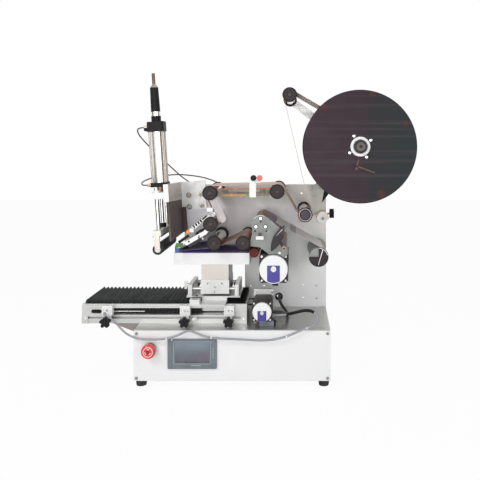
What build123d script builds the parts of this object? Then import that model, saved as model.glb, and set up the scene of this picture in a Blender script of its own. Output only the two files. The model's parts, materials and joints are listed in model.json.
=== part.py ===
from build123d import *
import os
from math import asin, atan2, cos, degrees, hypot, pi, radians, sin, tan

# Benchtop labelling machine for flat goods, in millimetres.
# X runs to the right, Y to the back and Z up. The origin is on the floor, under the middle of the base.

# Fits and overruns
RUNNING_FIT = 0.05
CLEAR = 0.3
OVERRUN = 2.0

# Base cabinet, deck and feet
BASE_LENGTH = 560.0
BASE_DEPTH = 360.0
CABINET_HEIGHT = 143.0
SHEET = 2.0
FRONT_LIP = 18.0
DECK_THICKNESS = 2.0
FOOT_HEIGHT = 17.0
FOOT_TOP_RADIUS = 16.5
FOOT_BOTTOM_RADIUS = 14.0
FOOT_INSET = 18.0
PANEL_SCREW_INSET = 8.0

# Control panel with its screen
HMI_INSET = 167.0
HMI_Z = 95.0
HMI_WIDTH = 140.0
HMI_HEIGHT = 85.0
HMI_CORNER = 4.0
HMI_PROUD = 6.0
HMI_BODY_DEPTH = 34.0
HMI_BODY_MARGIN = 6.0
SCREEN_WIDTH = 108.0
SCREEN_HEIGHT = 66.0
SCREEN_RECESS = 0.8
SCREEN_SHIFT = 4.0

# Emergency stop
ESTOP_INSET = 47.0
ESTOP_Z = 108.0
ESTOP_RADIUS = 20.0
ESTOP_HEAD = 17.0
ESTOP_DOME = 5.0
ESTOP_STEM_RADIUS = 7.0
ESTOP_STEM = 38.0
ESTOP_COLLAR_RADIUS = 17.0
ESTOP_COLLAR = 8.0
ESTOP_BARREL_RADIUS = 11.0
ESTOP_BARREL = 40.0
ESTOP_TRAVEL = 4.0

# Upright back plate and its gussets
PLATE_FACE_Y = 73.0
PLATE_THICKNESS = 10.0
PLATE_LEFT = -181.0
PLATE_RIGHT = 281.0
PLATE_TOP = 561.0
PLATE_FOOT_LEFT = 16.0
PLATE_ARM_BOTTOM = 350.0
PLATE_CORNER = 4.0
GUSSET_X = (60.0, 250.0)
GUSSET_THICKNESS = 6.0
GUSSET_DEPTH = 85.0
GUSSET_HEIGHT = 260.0
GUSSET_FOOT = 30.0
SPARE_HOLES = ((33.9, 229.3), (78.4, 229.3), (201.0, 532.0))
SPARE_HOLE_RADIUS = 3.25
PATTERN_X = 228.0
PATTERN_Z = 210.5
PATTERN_WIDTH = 43.5
PATTERN_HEIGHT = 41.5
PATTERN_HOLE_RADIUS = 3.25
GROMMET_X = 127.5
GROMMET_Z = 195.0
GROMMET_HOLE_RADIUS = 10.0

# Sliding table: extrusions, side frame and shafts
TABLE_LEFT = -450.0
TABLE_RIGHT = 37.0
TABLE_FRONT = -115.0
TABLE_BACK = 68.0
EXTRUSION = 25.0
SLOT_MOUTH = 6.4
SLOT_DEPTH = 8.0
SLOT_INNER = 12.0
SLOT_LIP = 2.0
SIDE_BAR = 8.0
RAIL_HEIGHT = 12.0
WINDOW_HEIGHT = 20.0
LEFT_END_LENGTH = 64.0
RIGHT_END_LENGTH = 38.0
CROSS_PLATE = 6.0
END_SLOT_LENGTH = 25.0
END_SLOT_RADIUS = 6.0
CLAMP_PLATE = 3.0
CLAMP_PLATE_X = ((-450.0, -432.0), (-131.5, -108.9), (19.5, 37.0))
SHAFT_RADIUS = 6.0
SHAFT_Y = (-68.0, 16.0)
SHAFT_RISE = 12.0
WINDOW_ROD_RADIUS = 1.5
WINDOW_ROD_LENGTH = 121.0
WINDOW_ROD_SEAT = 5.0
WINDOW_ROD_RISE = 9.6

# Bellows over the table
BELLOWS_FOLDS = 28
BELLOWS_HEIGHT = 42.0
BELLOWS_FOLD_DEPTH = 6.0
BELLOWS_CLOTH = 1.5
BELLOWS_GAP = 2.0

# Table belt, its pulleys and motor
TABLE_BELT_Y = -37.0
TABLE_BELT_WIDTH = 12.0
BELT_THICKNESS = 1.4
TABLE_PULLEY_RADIUS = 8.0
IDLER_X = -420.0
TABLE_MOTOR_X = 84.0
TABLE_MOTOR_RISE = 19.0
TABLE_MOTOR_SIZE = 57.0
TABLE_MOTOR_FRONT = -150.0
TABLE_MOTOR_BACK = -60.0
TABLE_MOTOR_CAP_RADIUS = 27.5
TABLE_MOTOR_CAP = 10.0
TABLE_MOTOR_SHAFT_RADIUS = 4.0
MOTOR_BRACKET = 6.0
MOTOR_BRACKET_WIDTH = 60.0
MOTOR_BRACKET_HEIGHT = 88.0
MOTOR_BRACKET_FOOT = 40.0
MOTOR_CORNER = 6.0

# Carriage that rides on the two shafts
CARRIAGE_LEFT = -100.0
CARRIAGE_RIGHT = -24.0
CARRIAGE_FRONT = -140.0
CARRIAGE_BACK = 62.0
CARRIAGE_PLATE_RISE = 20.5
CARRIAGE_PLATE = 4.0
CARRIAGE_BLOCK_DEPTH = 26.0
CARRIAGE_BLOCK_DROP = 10.0
FLAG_LEFT = -129.0
FLAG_BACK = -114.0
FLAG_FRONT = -134.0
FLAG_HEIGHT = 13.0

# Jig on the carriage: flange, end brackets, two cross shafts
JIG_LEFT = -146.0
JIG_RIGHT = 15.0
JIG_FRONT = -90.0
JIG_BACK = 30.0
JIG_RISER = 8.5
JIG_FLANGE = 4.0
JIG_END = 12.0
JIG_END_INSET = 4.5
JIG_END_HEIGHT = 34.0
JIG_SHAFT_RADIUS = 5.0
JIG_SHAFT_RISE = 20.0
JIG_SHAFT_INSET = 14.0
SLIDER_LEFT = -103.0
SLIDER_RIGHT = -18.0
SLIDER_GAP = 7.0
SLIDER_HEIGHT = 41.5
PEDESTAL_HEIGHT = 47.5
PEDESTAL_INSET = 2.0
SLIDER_RING_RADIUS = 13.8
SLIDER_RING_DEPTH = 0.6
SLIDER_RING_WIDTH = 1.0
SLIDER_HOLE_RADIUS = 2.8
SLIDER_HOLE_DEPTH = 10.0

# Product platform
PLATFORM_LEFT = -181.0
PLATFORM_RIGHT = 44.0
PLATFORM_FRONT = -105.0
PLATFORM_BACK = 60.0
PLATFORM_HEIGHT = 34.0
PLATFORM_RIM = 3.0
PAD_THICKNESS = 20.0
SOLE_PLATE = 2.0
SOLE_PLATE_LEFT = -170.0
SOLE_PLATE_INSET = 12.0

# Limit-sensor blocks with their star knobs
SENSOR_CENTRES_X = {"left": -370.5, "middle": -143.0, "right": -14.0}
SENSOR_BOTTOM_Z = {"left": 190.0, "middle": 188.0, "right": 188.0}
SENSOR_TOP_Z = 218.0
SENSOR_WIDTH = 30.0
SENSOR_DEPTH = 16.0
SENSOR_TAB_WIDTH = 14.0
SENSOR_TAB = 4.0
SENSOR_BORE_RADIUS = 4.0
KNOB_X = {"left": -366.0, "middle": -139.0, "right": -12.0}
KNOB_Z = 179.0
KNOB_RADIUS = 15.5
KNOB_LOBES = 5
KNOB_LOBE_RADIUS = 5.0
KNOB_WAIST_RADIUS = 10.5
KNOB_FRONT = -172.0
KNOB_THICKNESS = 14.0
KNOB_STEM_RADIUS = 3.0

# Wing screw at the left end of the jig
WING_SPAN = 25.0
WING_THICKNESS = 3.0
WING_DEPTH = 9.0
WING_HUB_RADIUS = 4.5
WING_HUB = 7.0
WING_STEM_RADIUS = 3.0
WING_STEM = 16.0
WING_Y = -60.0
WING_RISE = 7.5

# Press unit, built upright on the axis of the press roller and then leant to the left
PRESS_X = -218.4
PRESS_Z = 385.4
PRESS_LEAN = 3.76
PRESS_Y = -60.0
PRESS_ROLLER_RADIUS = 15.5
PRESS_CORE_RADIUS = 9.0
PRESS_PIN_RADIUS = 4.0
PRESS_ROLLER_FRONT = -148.0
PRESS_ROLLER_BACK = 48.0
REAR_ROD_RADIUS = 5.0
REAR_ROD_LENGTH = 33.5
GRIP_LENGTH = 73.6
CONE_LENGTH = 10.4
GRIP_TOP_RADIUS = 12.5
GRIP_RADIUS = 14.0
RING_LENGTH = 13.2
NECK_RADIUS = 14.5
NECK_LENGTH = 16.8
HEAD_HEIGHT = 30.4
HEAD_SIZE = 50.0
BARREL_RADIUS = 20.0
BARREL_BORE_RADIUS = 18.0
BARREL_LENGTH = 154.3
TIE_ROD_RADIUS = 3.0
TIE_ROD_OFFSET = 19.0
FOOT_CAP = 13.0
NOSE_RADIUS = 11.0
NOSE_LENGTH = 14.0
PISTON_ROD_RADIUS = 5.0
PISTON_THICKNESS = 16.0
FITTING_RADIUS = 4.5
FITTING_LENGTH = 14.0
FITTING_NUT_RADIUS = 6.5
FITTING_NUT = 6.0
GUIDE_BLOCK_LEFT = -238.0
GUIDE_BLOCK_RIGHT = -193.0
GUIDE_BLOCK_HEIGHT = 18.0
GUIDE_BLOCK_FRONT = -140.0
GUIDE_BLOCK_BACK = 20.0
GUIDE_RODS_Y = (-120.0, 0.0)
GUIDE_RODS_RADIUS = (6.0, 4.5)
GUIDE_BUSH_WALL = 4.0
GUIDE_BUSH_RISE = 6.0
GUIDE_ROD_END = 7.0
YOKE_RISE = 38.6
YOKE_HEIGHT = 16.0
PRESS_ROOM = 91.0
YOKE_HALF_WIDTH = 12.0
YOKE_ARM = 5.0
YOKE_ARM_HALF_WIDTH = 8.0
YOKE_COLLAR_RADIUS = 10.0
YOKE_COLLAR = 12.0
SIDE_PLATE_THICKNESS = 14.0
SIDE_PLATE_DROP = 20.0
SIDE_PLATE_HEIGHT = 61.0
SIDE_PLATE_TAPER = 10.0
BOLT_PLATE_RIGHT = -101.0
BOLT_PLATE_DROP = 5.0
BOLT_PLATE_HEIGHT = 92.0
BOLT_PLATE_CHAMFER = 22.0
BOLT_PLATE_THICKNESS = 9.7
PRESS_BOLTS_X = (-157.0, -116.0)
PRESS_BOLT_DROPS = (44.0, 82.0)
BRACKET_SLOT_HEIGHT = 12.0
BRACKET_SLOT_RADIUS = 2.5
BRACKET_SLOT_DEPTH = 5.0
BRACKET_SLOTS_Y = (-20.0, 16.0)

# Guide rollers on fixed shafts, as X and Z of each axis
ROLLERS = {
    "upper_left_roller": (-68.0, 549.5),
    "upper_right_roller": (127.7, 553.6),
    "peel_feed_roller": (-66.0, 458.7),
    "lower_left_roller": (-55.6, 403.9),
    "lower_right_roller": (28.5, 403.9),
    "reel_side_roller": (208.8, 486.0),
}
CAPPED_SHAFTS = ("upper_left_roller", "upper_right_roller", "peel_feed_roller")
ROLLER_RADIUS = 17.5
ROLLER_WALL = 2.0
ROLLER_FLANGE_RADIUS = 21.5
ROLLER_FLANGE = 7.0
ROLLER_HUB = 12.0
ROLLER_FRONT = -150.0
ROLLER_BACK = 47.0
ROLLER_SHAFT_RADIUS = 5.0
SHAFT_COLLAR_RADIUS = 9.0
SHAFT_COLLAR = 12.0
SHAFT_NUT_RADIUS = 9.0
SHAFT_NUT = 8.0
SHAFT_END = 4.0
LINK_FRONT = -142.0
LINK_THICKNESS = 6.0
LINK_GAP = 1.0
NIP_ROLLER_X = 59.5
NIP_ROLLER_Z = 372.0
NIP_ROLLER_RADIUS = 13.5
NIP_ROLLER_FRONT = -130.0
NIP_ROLLER_BACK = 40.0
NIP_SHAFT_RADIUS = 4.0

# Tie bar and link arm at the front ends of the shafts
TIE_BAR_HALF_HEIGHT = 12.0
TIE_SLOT_HALF_LENGTH = 45.0
TIE_SLOT_RADIUS = 3.0
TIE_SLOT_RISE = 4.0
LINK_ARM_END = (-34.0, 474.0)
LINK_ARM_HALF_WIDTH = 12.0

# Label sensor on the tie bar
LABEL_SENSOR_X = 56.5
LABEL_SENSOR_WIDTH = 19.0
LABEL_SENSOR_WALL = 3.0
LABEL_SENSOR_TOP = 587.0
LABEL_SENSOR_HEAD = 8.0
LABEL_SENSOR_CAP_RADIUS = 8.5
LABEL_SENSOR_CAP = 12.0
LABEL_SENSOR_CAPS_X = (59.0, 77.0)
LABEL_SENSOR_CAP_RISE = 6.0

# Peel table
PEEL_TIP = (-164.0, 380.0)
PEEL_BLADE_LENGTH = 84.0
PEEL_TIP_RADIUS = 1.5
PEEL_BAR_START = (-136.0, 403.0)
PEEL_BAR_END = (-82.0, 434.0)
PEEL_BAR_HALF_WIDTH = 6.0
PEEL_LUG_RADIUS = 9.0
PEEL_BAR_HOLES = ((-129.0, 407.0), (-100.0, 423.6))
PEEL_BAR_HOLE_RADIUS = 2.5
PEEL_CARRIER_RADIUS = 4.0
PEEL_CARRIER_SHARES = (0.45, 0.95)
COMB_START = (-116.0, 447.0)
COMB_END = (-58.0, 488.6)
COMB_HALF_WIDTH = 2.5
COMB_TEETH = 6
COMB_TOOTH = 4.0
COMB_TOOTH_HEIGHT = 5.0
COMB_EYE_RADIUS = 6.0
COMB_BLOCK = 12.0
COMB_KNOB_RADIUS = 7.0

# Traction unit
TRACTION_FRONT = -141.0
TRACTION_PLATE = 6.0
DRIVE_X = 79.4
DRIVE_Z = 459.0
DRIVE_RADIUS = 23.0
DRIVE_SHAFT_RADIUS = 6.0
DRIVE_FRONT = -130.0
DRIVE_BACK = 28.0
DRIVE_NOSE_RADIUS = 25.0
TRACTION_SHOULDER_LEFT = (55.0, 430.0)
TRACTION_TOE = (45.5, 394.8)
TRACTION_HEEL = (77.0, 390.8)
TRACTION_SCALLOP_LEFT = (112.0, 364.5)
TRACTION_SCALLOP_RIGHT = (150.0, 360.7)
TRACTION_LOW_RIGHT = (158.0, 371.0)
TRACTION_HIGH_RIGHT = (158.0, 427.0)
TRACTION_NECK_RIGHT = (98.0, 478.5)
SCALLOP_GAP = 2.5
PILLARS = ((97.0, 402.0), (149.0, 383.0), (146.0, 422.0))
PILLAR_RADIUS = 6.0
TRACTION_SCREWS = 3
TRACTION_SCREW_CIRCLE = 16.0
ADJUSTER_X = 77.0
ADJUSTER_Z = 424.0
ADJUSTER_WIDTH = 22.0
ADJUSTER_HEIGHT = 10.0
ADJUSTER_DEPTH = 8.0
DRIVE_PULLEY_RADIUS = 18.0
DRIVE_PULLEY_FRONT = 38.0
DRIVE_PULLEY_WIDTH = 16.0
DRIVE_BELT_WIDTH = 12.0
MOTOR_PULLEY_RADIUS = 12.0
PULLEY_RIM = 2.0

# Traction motor
MOTOR_X = 117.0
MOTOR_Z = 327.8
MOTOR_SIZE = 84.0
MOTOR_FRONT = -134.7
MOTOR_BACK = 24.7
MOTOR_CAP_RADIUS = 41.5
MOTOR_CAP = 17.0
MOTOR_CAP_EDGE = 3.0
MOTOR_SHAFT_RADIUS = 7.0
MOTOR_PLATE = 8.0
STANDOFF_RADIUS = 6.0
STANDOFF_OFFSET = 34.0

# Pinch release lever
LEVER_PIVOT = (147.5, 389.0)
LEVER_PIN_RADIUS = 4.0
LEVER_HUB_RADIUS = 7.0
LEVER_TOP = (149.0, 457.0)
LEVER_BOTTOM = (110.0, 380.5)
LEVER_FRONT = -156.0
LEVER_THICKNESS = 7.0
LEVER_LEAF_HALF_WIDTH = 13.0
LEVER_LINK_TOP = (151.0, 432.0)
LEVER_LINK_HALF_WIDTH = 4.0

# Label reel, its arm and the dancer
REEL_X = 368.5
REEL_Z = 684.0
REEL_DISC_RADIUS = 165.0
REEL_DISC = 3.0
REEL_FRONT = -150.0
REEL_REAR = 48.0
REEL_DRUM_RADIUS = 37.8
REEL_DRUM_WALL = 3.0
REEL_HUB_RADIUS = 28.5
REEL_HUB = 6.0
REEL_KNOB_RADIUS = 16.5
REEL_KNOB = 12.0
REEL_BOSS_RADIUS = 12.0
SPINDLE_RADIUS = 8.0
LABEL_ROLL_RADIUS = 45.0
LABEL_CORE_RADIUS = 38.0
REEL_ARM_FRONT = 62.0
REEL_ARM_LOW = (246.0, 517.0)
REEL_ARM_TOP_RADIUS = 30.0
REEL_ARM_LOW_RADIUS = 26.0
REEL_ARM_BOLTS_SHARES = (0.0, 0.17)
STRIP_BOSS = (268.5, 457.0)
STRIP_BOSS_RADIUS = 18.0
STRIP_BOSS_FRONT = 45.0
STRIP_SCREW_RADIUS = 4.0
STRIP_SCREW = 2.5
STRIP_THICKNESS = 1.2
STRIP_ENDS = ((192.5, 439.0), (288.0, 450.0))
STRIP_WIDTH = 14.0
STRIP_KNOB_RISE = 11.0
STRIP_KNOB_LEFT = 291.0
STRIP_STEM_SEAT = 8.0
DANCER_X = 164.0
DANCER_Z = 834.9
DANCER_ARM_FRONT = 52.0
DANCER_ARM = 6.0
DANCER_BOSS_RADIUS = 16.0
DANCER_TIP_RADIUS = 11.0

# Rewind spool for the empty backing paper
REWIND_X = 248.7
REWIND_Z = 360.7
REWIND_CORE_RADIUS = 26.0
REWIND_WALL = 3.0
REWIND_CAP_RADIUS = 29.0
REWIND_CAP = 6.0
REWIND_CAP_FRONT = -131.0
REWIND_FLANGE_RADIUS = 30.0
REWIND_FLANGE = 3.0
REWIND_BACK = 42.0
REWIND_SHAFT_RADIUS = 6.0

# Web of backing paper and labels
WEB_THICKNESS = 0.4
WEB_LIFT = 0.3
WEB_FRONT = -124.0
WEB_BACK = 36.0

# Screws
BOLT_HEAD_RADIUS = 7.5
BOLT_HEAD = 6.0
BOLT_SHANK_RADIUS = 4.0
SMALL_HEAD_RADIUS = 4.5
SMALL_HEAD = 3.0
SMALL_SHANK_RADIUS = 2.0
SMALL_SHANK = 8.0

# Cords
SENSOR_CABLE_RADIUS = 3.0
MOTOR_CABLE_RADIUS = 4.5
HOSE_RADIUS = 2.0
BEND_SHARE = 0.45
SENSOR_CABLE_POINTS = (
    (-378.0, -131.3, 197.0),
    (-378.0, -141.0, 197.0),
    (-369.0, -149.0, 193.0),
    (-352.0, -153.0, 186.0),
    (-338.0, -161.0, 178.0),
    (-320.0, -174.0, 166.0),
    (-298.0, -187.0, 152.0),
    (-266.0, -194.0, 141.0),
    (-226.0, -195.0, 139.0),
    (-186.0, -195.0, 141.0),
    (-152.0, -194.0, 150.0),
    (-121.0, -192.0, 166.0),
    (-96.0, -193.0, 155.0),
    (-66.0, -195.0, 145.0),
    (-22.0, -196.0, 142.0),
    (26.0, -196.0, 140.0),
    (78.0, -196.0, 136.5),
    (124.0, -196.0, 139.0),
    (165.0, -195.0, 151.0),
    (204.0, -192.0, 168.0),
    (234.0, -187.0, 178.0),
    (247.0, -180.0, 194.0),
    (239.0, -172.0, 209.0),
    (214.0, -163.0, 214.5),
    (188.0, -152.0, 206.0),
    (164.0, -138.0, 196.0),
    (142.0, -128.0, 190.0),
    (112.5, -128.0, 190.0),
)
MOTOR_CABLE_POINTS = (
    (130.0, 124.0, 162.0),
    (130.0, 124.0, 178.0),
    (129.0, 113.0, 191.0),
    (128.0, 92.0, 195.5),
    (127.5, 66.0, 195.0),
    (130.0, 44.0, 189.0),
    (138.0, 22.0, 179.0),
    (150.0, 0.0, 170.0),
    (157.0, -26.0, 167.0),
    (157.0, -54.0, 169.0),
    (154.0, -80.0, 179.0),
    (138.0, -94.0, 190.0),
    (112.5, -94.0, 190.0),
)
UPPER_HOSE_POINTS = (
    (-281.2, -60.0, 742.2),
    (-295.0, -60.0, 741.3),
    (-304.5, -50.0, 734.5),
    (-303.0, -31.0, 719.0),
    (-287.0, -4.0, 694.0),
    (-264.0, 26.0, 664.0),
    (-242.0, 54.0, 637.0),
    (-218.0, 80.0, 609.0),
    (-190.0, 98.0, 580.0),
    (-152.0, 104.0, 556.0),
    (-104.0, 103.0, 532.0),
    (-58.0, 101.0, 500.0),
    (-20.0, 102.0, 456.0),
    (8.0, 103.0, 404.0),
    (24.0, 101.0, 347.0),
    (31.0, 102.0, 288.0),
    (29.0, 101.0, 229.0),
    (31.0, 101.5, 195.5),
    (30.0, 101.0, 162.0),
)
LOWER_HOSE_POINTS = (
    (-269.7, -60.0, 566.5),
    (-283.5, -60.0, 565.7),
    (-292.0, -48.0, 570.5),
    (-289.0, -27.0, 578.0),
    (-272.0, -1.0, 585.5),
    (-250.0, 25.0, 591.0),
    (-226.0, 48.0, 593.0),
    (-200.0, 66.0, 594.0),
    (-170.0, 82.0, 591.0),
    (-124.0, 95.0, 584.0),
    (-74.0, 102.0, 566.0),
    (-28.0, 103.0, 533.0),
    (8.0, 101.0, 489.0),
    (34.0, 102.0, 437.0),
    (46.0, 103.0, 380.0),
    (44.0, 101.0, 321.0),
    (47.0, 102.0, 262.0),
    (45.0, 101.0, 212.0),
    (46.0, 101.0, 162.0),
)

# Levels and faces that follow from the sizes above
CABINET_TOP = FOOT_HEIGHT + CABINET_HEIGHT
DECK_Z = CABINET_TOP + DECK_THICKNESS
BASE_HALF = BASE_LENGTH / 2
BASE_FRONT = -BASE_DEPTH / 2
BASE_BACK = BASE_DEPTH / 2
PLATE_REAR_Y = PLATE_FACE_Y + PLATE_THICKNESS
HMI_X = -BASE_HALF + HMI_INSET
ESTOP_X = -BASE_HALF + ESTOP_INSET
EXTRUSION_TOP = DECK_Z + EXTRUSION
RAIL_BOTTOM = EXTRUSION_TOP + WINDOW_HEIGHT
RAIL_TOP = RAIL_BOTTOM + RAIL_HEIGHT
SHAFT_Z = EXTRUSION_TOP + SHAFT_RISE
TABLE_MOTOR_Z = EXTRUSION_TOP + TABLE_MOTOR_RISE
BELLOWS_BOTTOM = EXTRUSION_TOP + BELLOWS_GAP
BELLOWS_TOP = BELLOWS_BOTTOM + BELLOWS_HEIGHT
INNER_FRONT = TABLE_FRONT + SIDE_BAR
INNER_BACK = TABLE_BACK - SIDE_BAR
LINK_BACK = LINK_FRONT + LINK_THICKNESS
SECOND_LINK_FRONT = LINK_BACK + LINK_GAP
SECOND_LINK_BACK = SECOND_LINK_FRONT + LINK_THICKNESS
CAPPED_TUBE_FRONT = SECOND_LINK_BACK + LINK_GAP
REAR_LINK_FRONT = ROLLER_BACK + LINK_GAP
COLLAR_FRONT = PLATE_FACE_Y - SHAFT_COLLAR
REAR_LINK = COLLAR_FRONT - LINK_GAP - REAR_LINK_FRONT

# Levels of the carriage, jig and platform, stacked upwards
CARRIAGE_PLATE_Z = SHAFT_Z + CARRIAGE_PLATE_RISE
CARRIAGE_BLOCK_BOTTOM = SHAFT_Z - CARRIAGE_BLOCK_DROP
JIG_FLANGE_Z = CARRIAGE_PLATE_Z + CARRIAGE_PLATE + JIG_RISER
JIG_FLANGE_TOP = JIG_FLANGE_Z + JIG_FLANGE
JIG_SHAFT_Z = JIG_FLANGE_TOP + JIG_SHAFT_RISE
WING_Z = JIG_SHAFT_Z + WING_RISE
SLIDER_BOTTOM = JIG_FLANGE_TOP + SLIDER_GAP
SLIDER_TOP = SLIDER_BOTTOM + SLIDER_HEIGHT
PEDESTAL_TOP = SLIDER_TOP + PEDESTAL_HEIGHT
PLATFORM_BOTTOM = PEDESTAL_TOP + SOLE_PLATE
PLATFORM_TOP = PLATFORM_BOTTOM + PLATFORM_HEIGHT

# Levels of the press unit, stacked upwards from the roller's axis, at rest with the rod down
YOKE_BOTTOM = PRESS_Z + YOKE_RISE
YOKE_TOP = YOKE_BOTTOM + YOKE_HEIGHT
GUIDE_BLOCK_BOTTOM = YOKE_TOP + PRESS_ROOM
GUIDE_BLOCK_TOP = GUIDE_BLOCK_BOTTOM + GUIDE_BLOCK_HEIGHT
GUIDE_ROD_TOP = GUIDE_BLOCK_TOP + GUIDE_BUSH_RISE + GUIDE_ROD_END
FOOT_CAP_BOTTOM = GUIDE_BLOCK_TOP + NOSE_LENGTH
BARREL_BOTTOM = FOOT_CAP_BOTTOM + FOOT_CAP
HEAD_BOTTOM = BARREL_BOTTOM + BARREL_LENGTH
HEAD_TOP = HEAD_BOTTOM + HEAD_HEIGHT
NECK_TOP = HEAD_TOP + NECK_LENGTH
RING_BOTTOM = NECK_TOP + CLEAR
RING_TOP = RING_BOTTOM + RING_LENGTH
CONE_BASE = RING_TOP + GRIP_LENGTH
CONE_TOP = CONE_BASE + CONE_LENGTH
REAR_ROD_TOP = CONE_TOP + REAR_ROD_LENGTH
SIDE_PLATE_BOTTOM = GUIDE_BLOCK_BOTTOM - SIDE_PLATE_DROP
SIDE_PLATE_TOP = SIDE_PLATE_BOTTOM + SIDE_PLATE_HEIGHT
BOLT_PLATE_TOP = SIDE_PLATE_TOP - BOLT_PLATE_DROP
BOLT_PLATE_BOTTOM = BOLT_PLATE_TOP - BOLT_PLATE_HEIGHT
PRESS_BOLTS_Z = [BOLT_PLATE_TOP - drop for drop in PRESS_BOLT_DROPS]


def block(xs, ys, zs):
    """A box between two limits along each axis."""
    sizes = [high - low for low, high in (xs, ys, zs)]
    middles = [(low + high) / 2 for low, high in (xs, ys, zs)]
    return Pos(*middles) * Box(*sizes)


def round_x(y, z, radius, xs):
    """A cylinder along X."""
    left, right = xs
    return Pos((left + right) / 2, y, z) * Rot(0, 90, 0) * Cylinder(radius, right - left)


def round_y(x, z, radius, ys):
    """A cylinder along Y."""
    front, back = ys
    return Pos(x, (front + back) / 2, z) * Rot(90, 0, 0) * Cylinder(radius, back - front)


def round_z(x, y, radius, zs):
    """A cylinder along Z."""
    low, high = zs
    return Pos(x, y, (low + high) / 2) * Cylinder(radius, high - low)


def cone_z(x, y, low_radius, high_radius, zs):
    """A cone along Z."""
    low, high = zs
    return Pos(x, y, (low + high) / 2) * Cone(low_radius, high_radius, high - low)


def slab(outline, ys):
    """An outline drawn in X and Z, extruded from its front to its back."""
    front, back = ys
    return Pos(0, back, 0) * extrude(Plane.XZ * outline, amount=back - front)


def disc(centre, radius):
    """A round outline in X and Z."""
    return Pos(*centre) * Circle(radius)


def link(start, end, radius):
    """A bar outline with round ends about two centres."""
    length = hypot(end[0] - start[0], end[1] - start[1])
    angle = degrees(atan2(end[1] - start[1], end[0] - start[0]))
    middle = ((start[0] + end[0]) / 2, (start[1] + end[1]) / 2)
    return Pos(*middle) * Rot(0, 0, angle) * SlotCenterToCenter(length, 2 * radius)


def tapered_link(start, start_radius, end, end_radius):
    """A bar outline that tapers from one round end to the other."""
    edges = disc(start, start_radius).edges() + disc(end, end_radius).edges()
    return make_hull(edges)


def polygon(*points):
    """A straight-sided outline."""
    return make_face(Polyline(*points, close=True))


def group(*pieces):
    """Separate solids that share one name."""
    return Compound([solid for piece in pieces for solid in piece.solids()])


def between(start, end, share):
    """The point at a share of the way from start to end."""
    return tuple(a + (b - a) * share for a, b in zip(start, end))


def base_cabinet():
    """A folded sheet box with a lip round its open front."""
    outer = block(
        (-BASE_HALF, BASE_HALF), (BASE_FRONT + SHEET, BASE_BACK), (FOOT_HEIGHT, CABINET_TOP)
    )
    hollow = block(
        (-BASE_HALF + SHEET, BASE_HALF - SHEET),
        (BASE_FRONT + 2 * SHEET, BASE_BACK - SHEET),
        (FOOT_HEIGHT + SHEET, CABINET_TOP - SHEET),
    )
    mouth = block(
        (-BASE_HALF + FRONT_LIP, BASE_HALF - FRONT_LIP),
        (BASE_FRONT, 0),
        (FOOT_HEIGHT + FRONT_LIP, CABINET_TOP - FRONT_LIP),
    )
    cabinet = outer - hollow - mouth
    for x, z in panel_screw_places():
        cabinet -= round_y(x, z, SMALL_SHANK_RADIUS, (BASE_FRONT, BASE_FRONT + FRONT_LIP))
    return cabinet


def hmi_outline(margin):
    """The control panel's outline, drawn in by a margin."""
    width = HMI_WIDTH - 2 * margin
    height = HMI_HEIGHT - 2 * margin
    return Pos(HMI_X, HMI_Z) * RectangleRounded(width, height, HMI_CORNER)


def front_panel():
    """The front sheet with its cut-outs for the controls."""
    outline = Pos(0, (FOOT_HEIGHT + CABINET_TOP) / 2) * Rectangle(BASE_LENGTH, CABINET_HEIGHT)
    outline -= hmi_outline(HMI_BODY_MARGIN - CLEAR)
    outline -= disc((ESTOP_X, ESTOP_Z), ESTOP_BARREL_RADIUS + CLEAR)
    for x, z in panel_screw_places():
        outline -= disc((x, z), SMALL_SHANK_RADIUS + CLEAR)
    return slab(outline, (BASE_FRONT, BASE_FRONT + SHEET))


def panel_screw_places():
    """Centres of the four corner screws of the front panel."""
    across = BASE_HALF - PANEL_SCREW_INSET
    levels = (FOOT_HEIGHT + PANEL_SCREW_INSET, CABINET_TOP - PANEL_SCREW_INSET)
    return [(x, z) for x in (-across, across) for z in levels]


def top_plate():
    """The stainless deck sheet."""
    return block((-BASE_HALF, BASE_HALF), (BASE_FRONT, BASE_BACK), (CABINET_TOP, DECK_Z))


def rubber_feet():
    """Four tapered feet under the corners."""
    across = BASE_HALF - FOOT_INSET
    along = BASE_BACK - FOOT_INSET
    feet = [
        cone_z(x, y, FOOT_BOTTOM_RADIUS, FOOT_TOP_RADIUS, (0, FOOT_HEIGHT))
        for x in (-across, across)
        for y in (-along, along)
    ]
    return group(*feet)


def hmi_panel():
    """The control panel: a proud bezel with a sunk screen, and the body behind the sheet."""
    bezel = slab(hmi_outline(0), (BASE_FRONT - HMI_PROUD, BASE_FRONT))
    bezel = fillet(bezel.faces().sort_by(Axis.Y)[0].edges(), HMI_PROUD / 4)
    screen = Pos(HMI_X - SCREEN_SHIFT, HMI_Z) * Rectangle(SCREEN_WIDTH, SCREEN_HEIGHT)
    bezel -= slab(screen, (BASE_FRONT - HMI_PROUD - OVERRUN, BASE_FRONT - HMI_PROUD + SCREEN_RECESS))
    body = slab(hmi_outline(HMI_BODY_MARGIN), (BASE_FRONT, BASE_FRONT + HMI_BODY_DEPTH))
    return bezel + body


def estop_collar():
    """The collar and threaded barrel that the stop button slides in."""
    front = BASE_FRONT - ESTOP_COLLAR
    collar = round_y(ESTOP_X, ESTOP_Z, ESTOP_COLLAR_RADIUS, (front, BASE_FRONT))
    collar = chamfer(collar.faces().sort_by(Axis.Y)[0].edges(), ESTOP_COLLAR / 4)
    barrel = round_y(ESTOP_X, ESTOP_Z, ESTOP_BARREL_RADIUS, (BASE_FRONT, BASE_FRONT + ESTOP_BARREL))
    bore_ys = (front - OVERRUN, BASE_FRONT + ESTOP_BARREL + OVERRUN)
    bore = round_y(ESTOP_X, ESTOP_Z, ESTOP_STEM_RADIUS + RUNNING_FIT, bore_ys)
    return collar + barrel - bore


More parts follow.
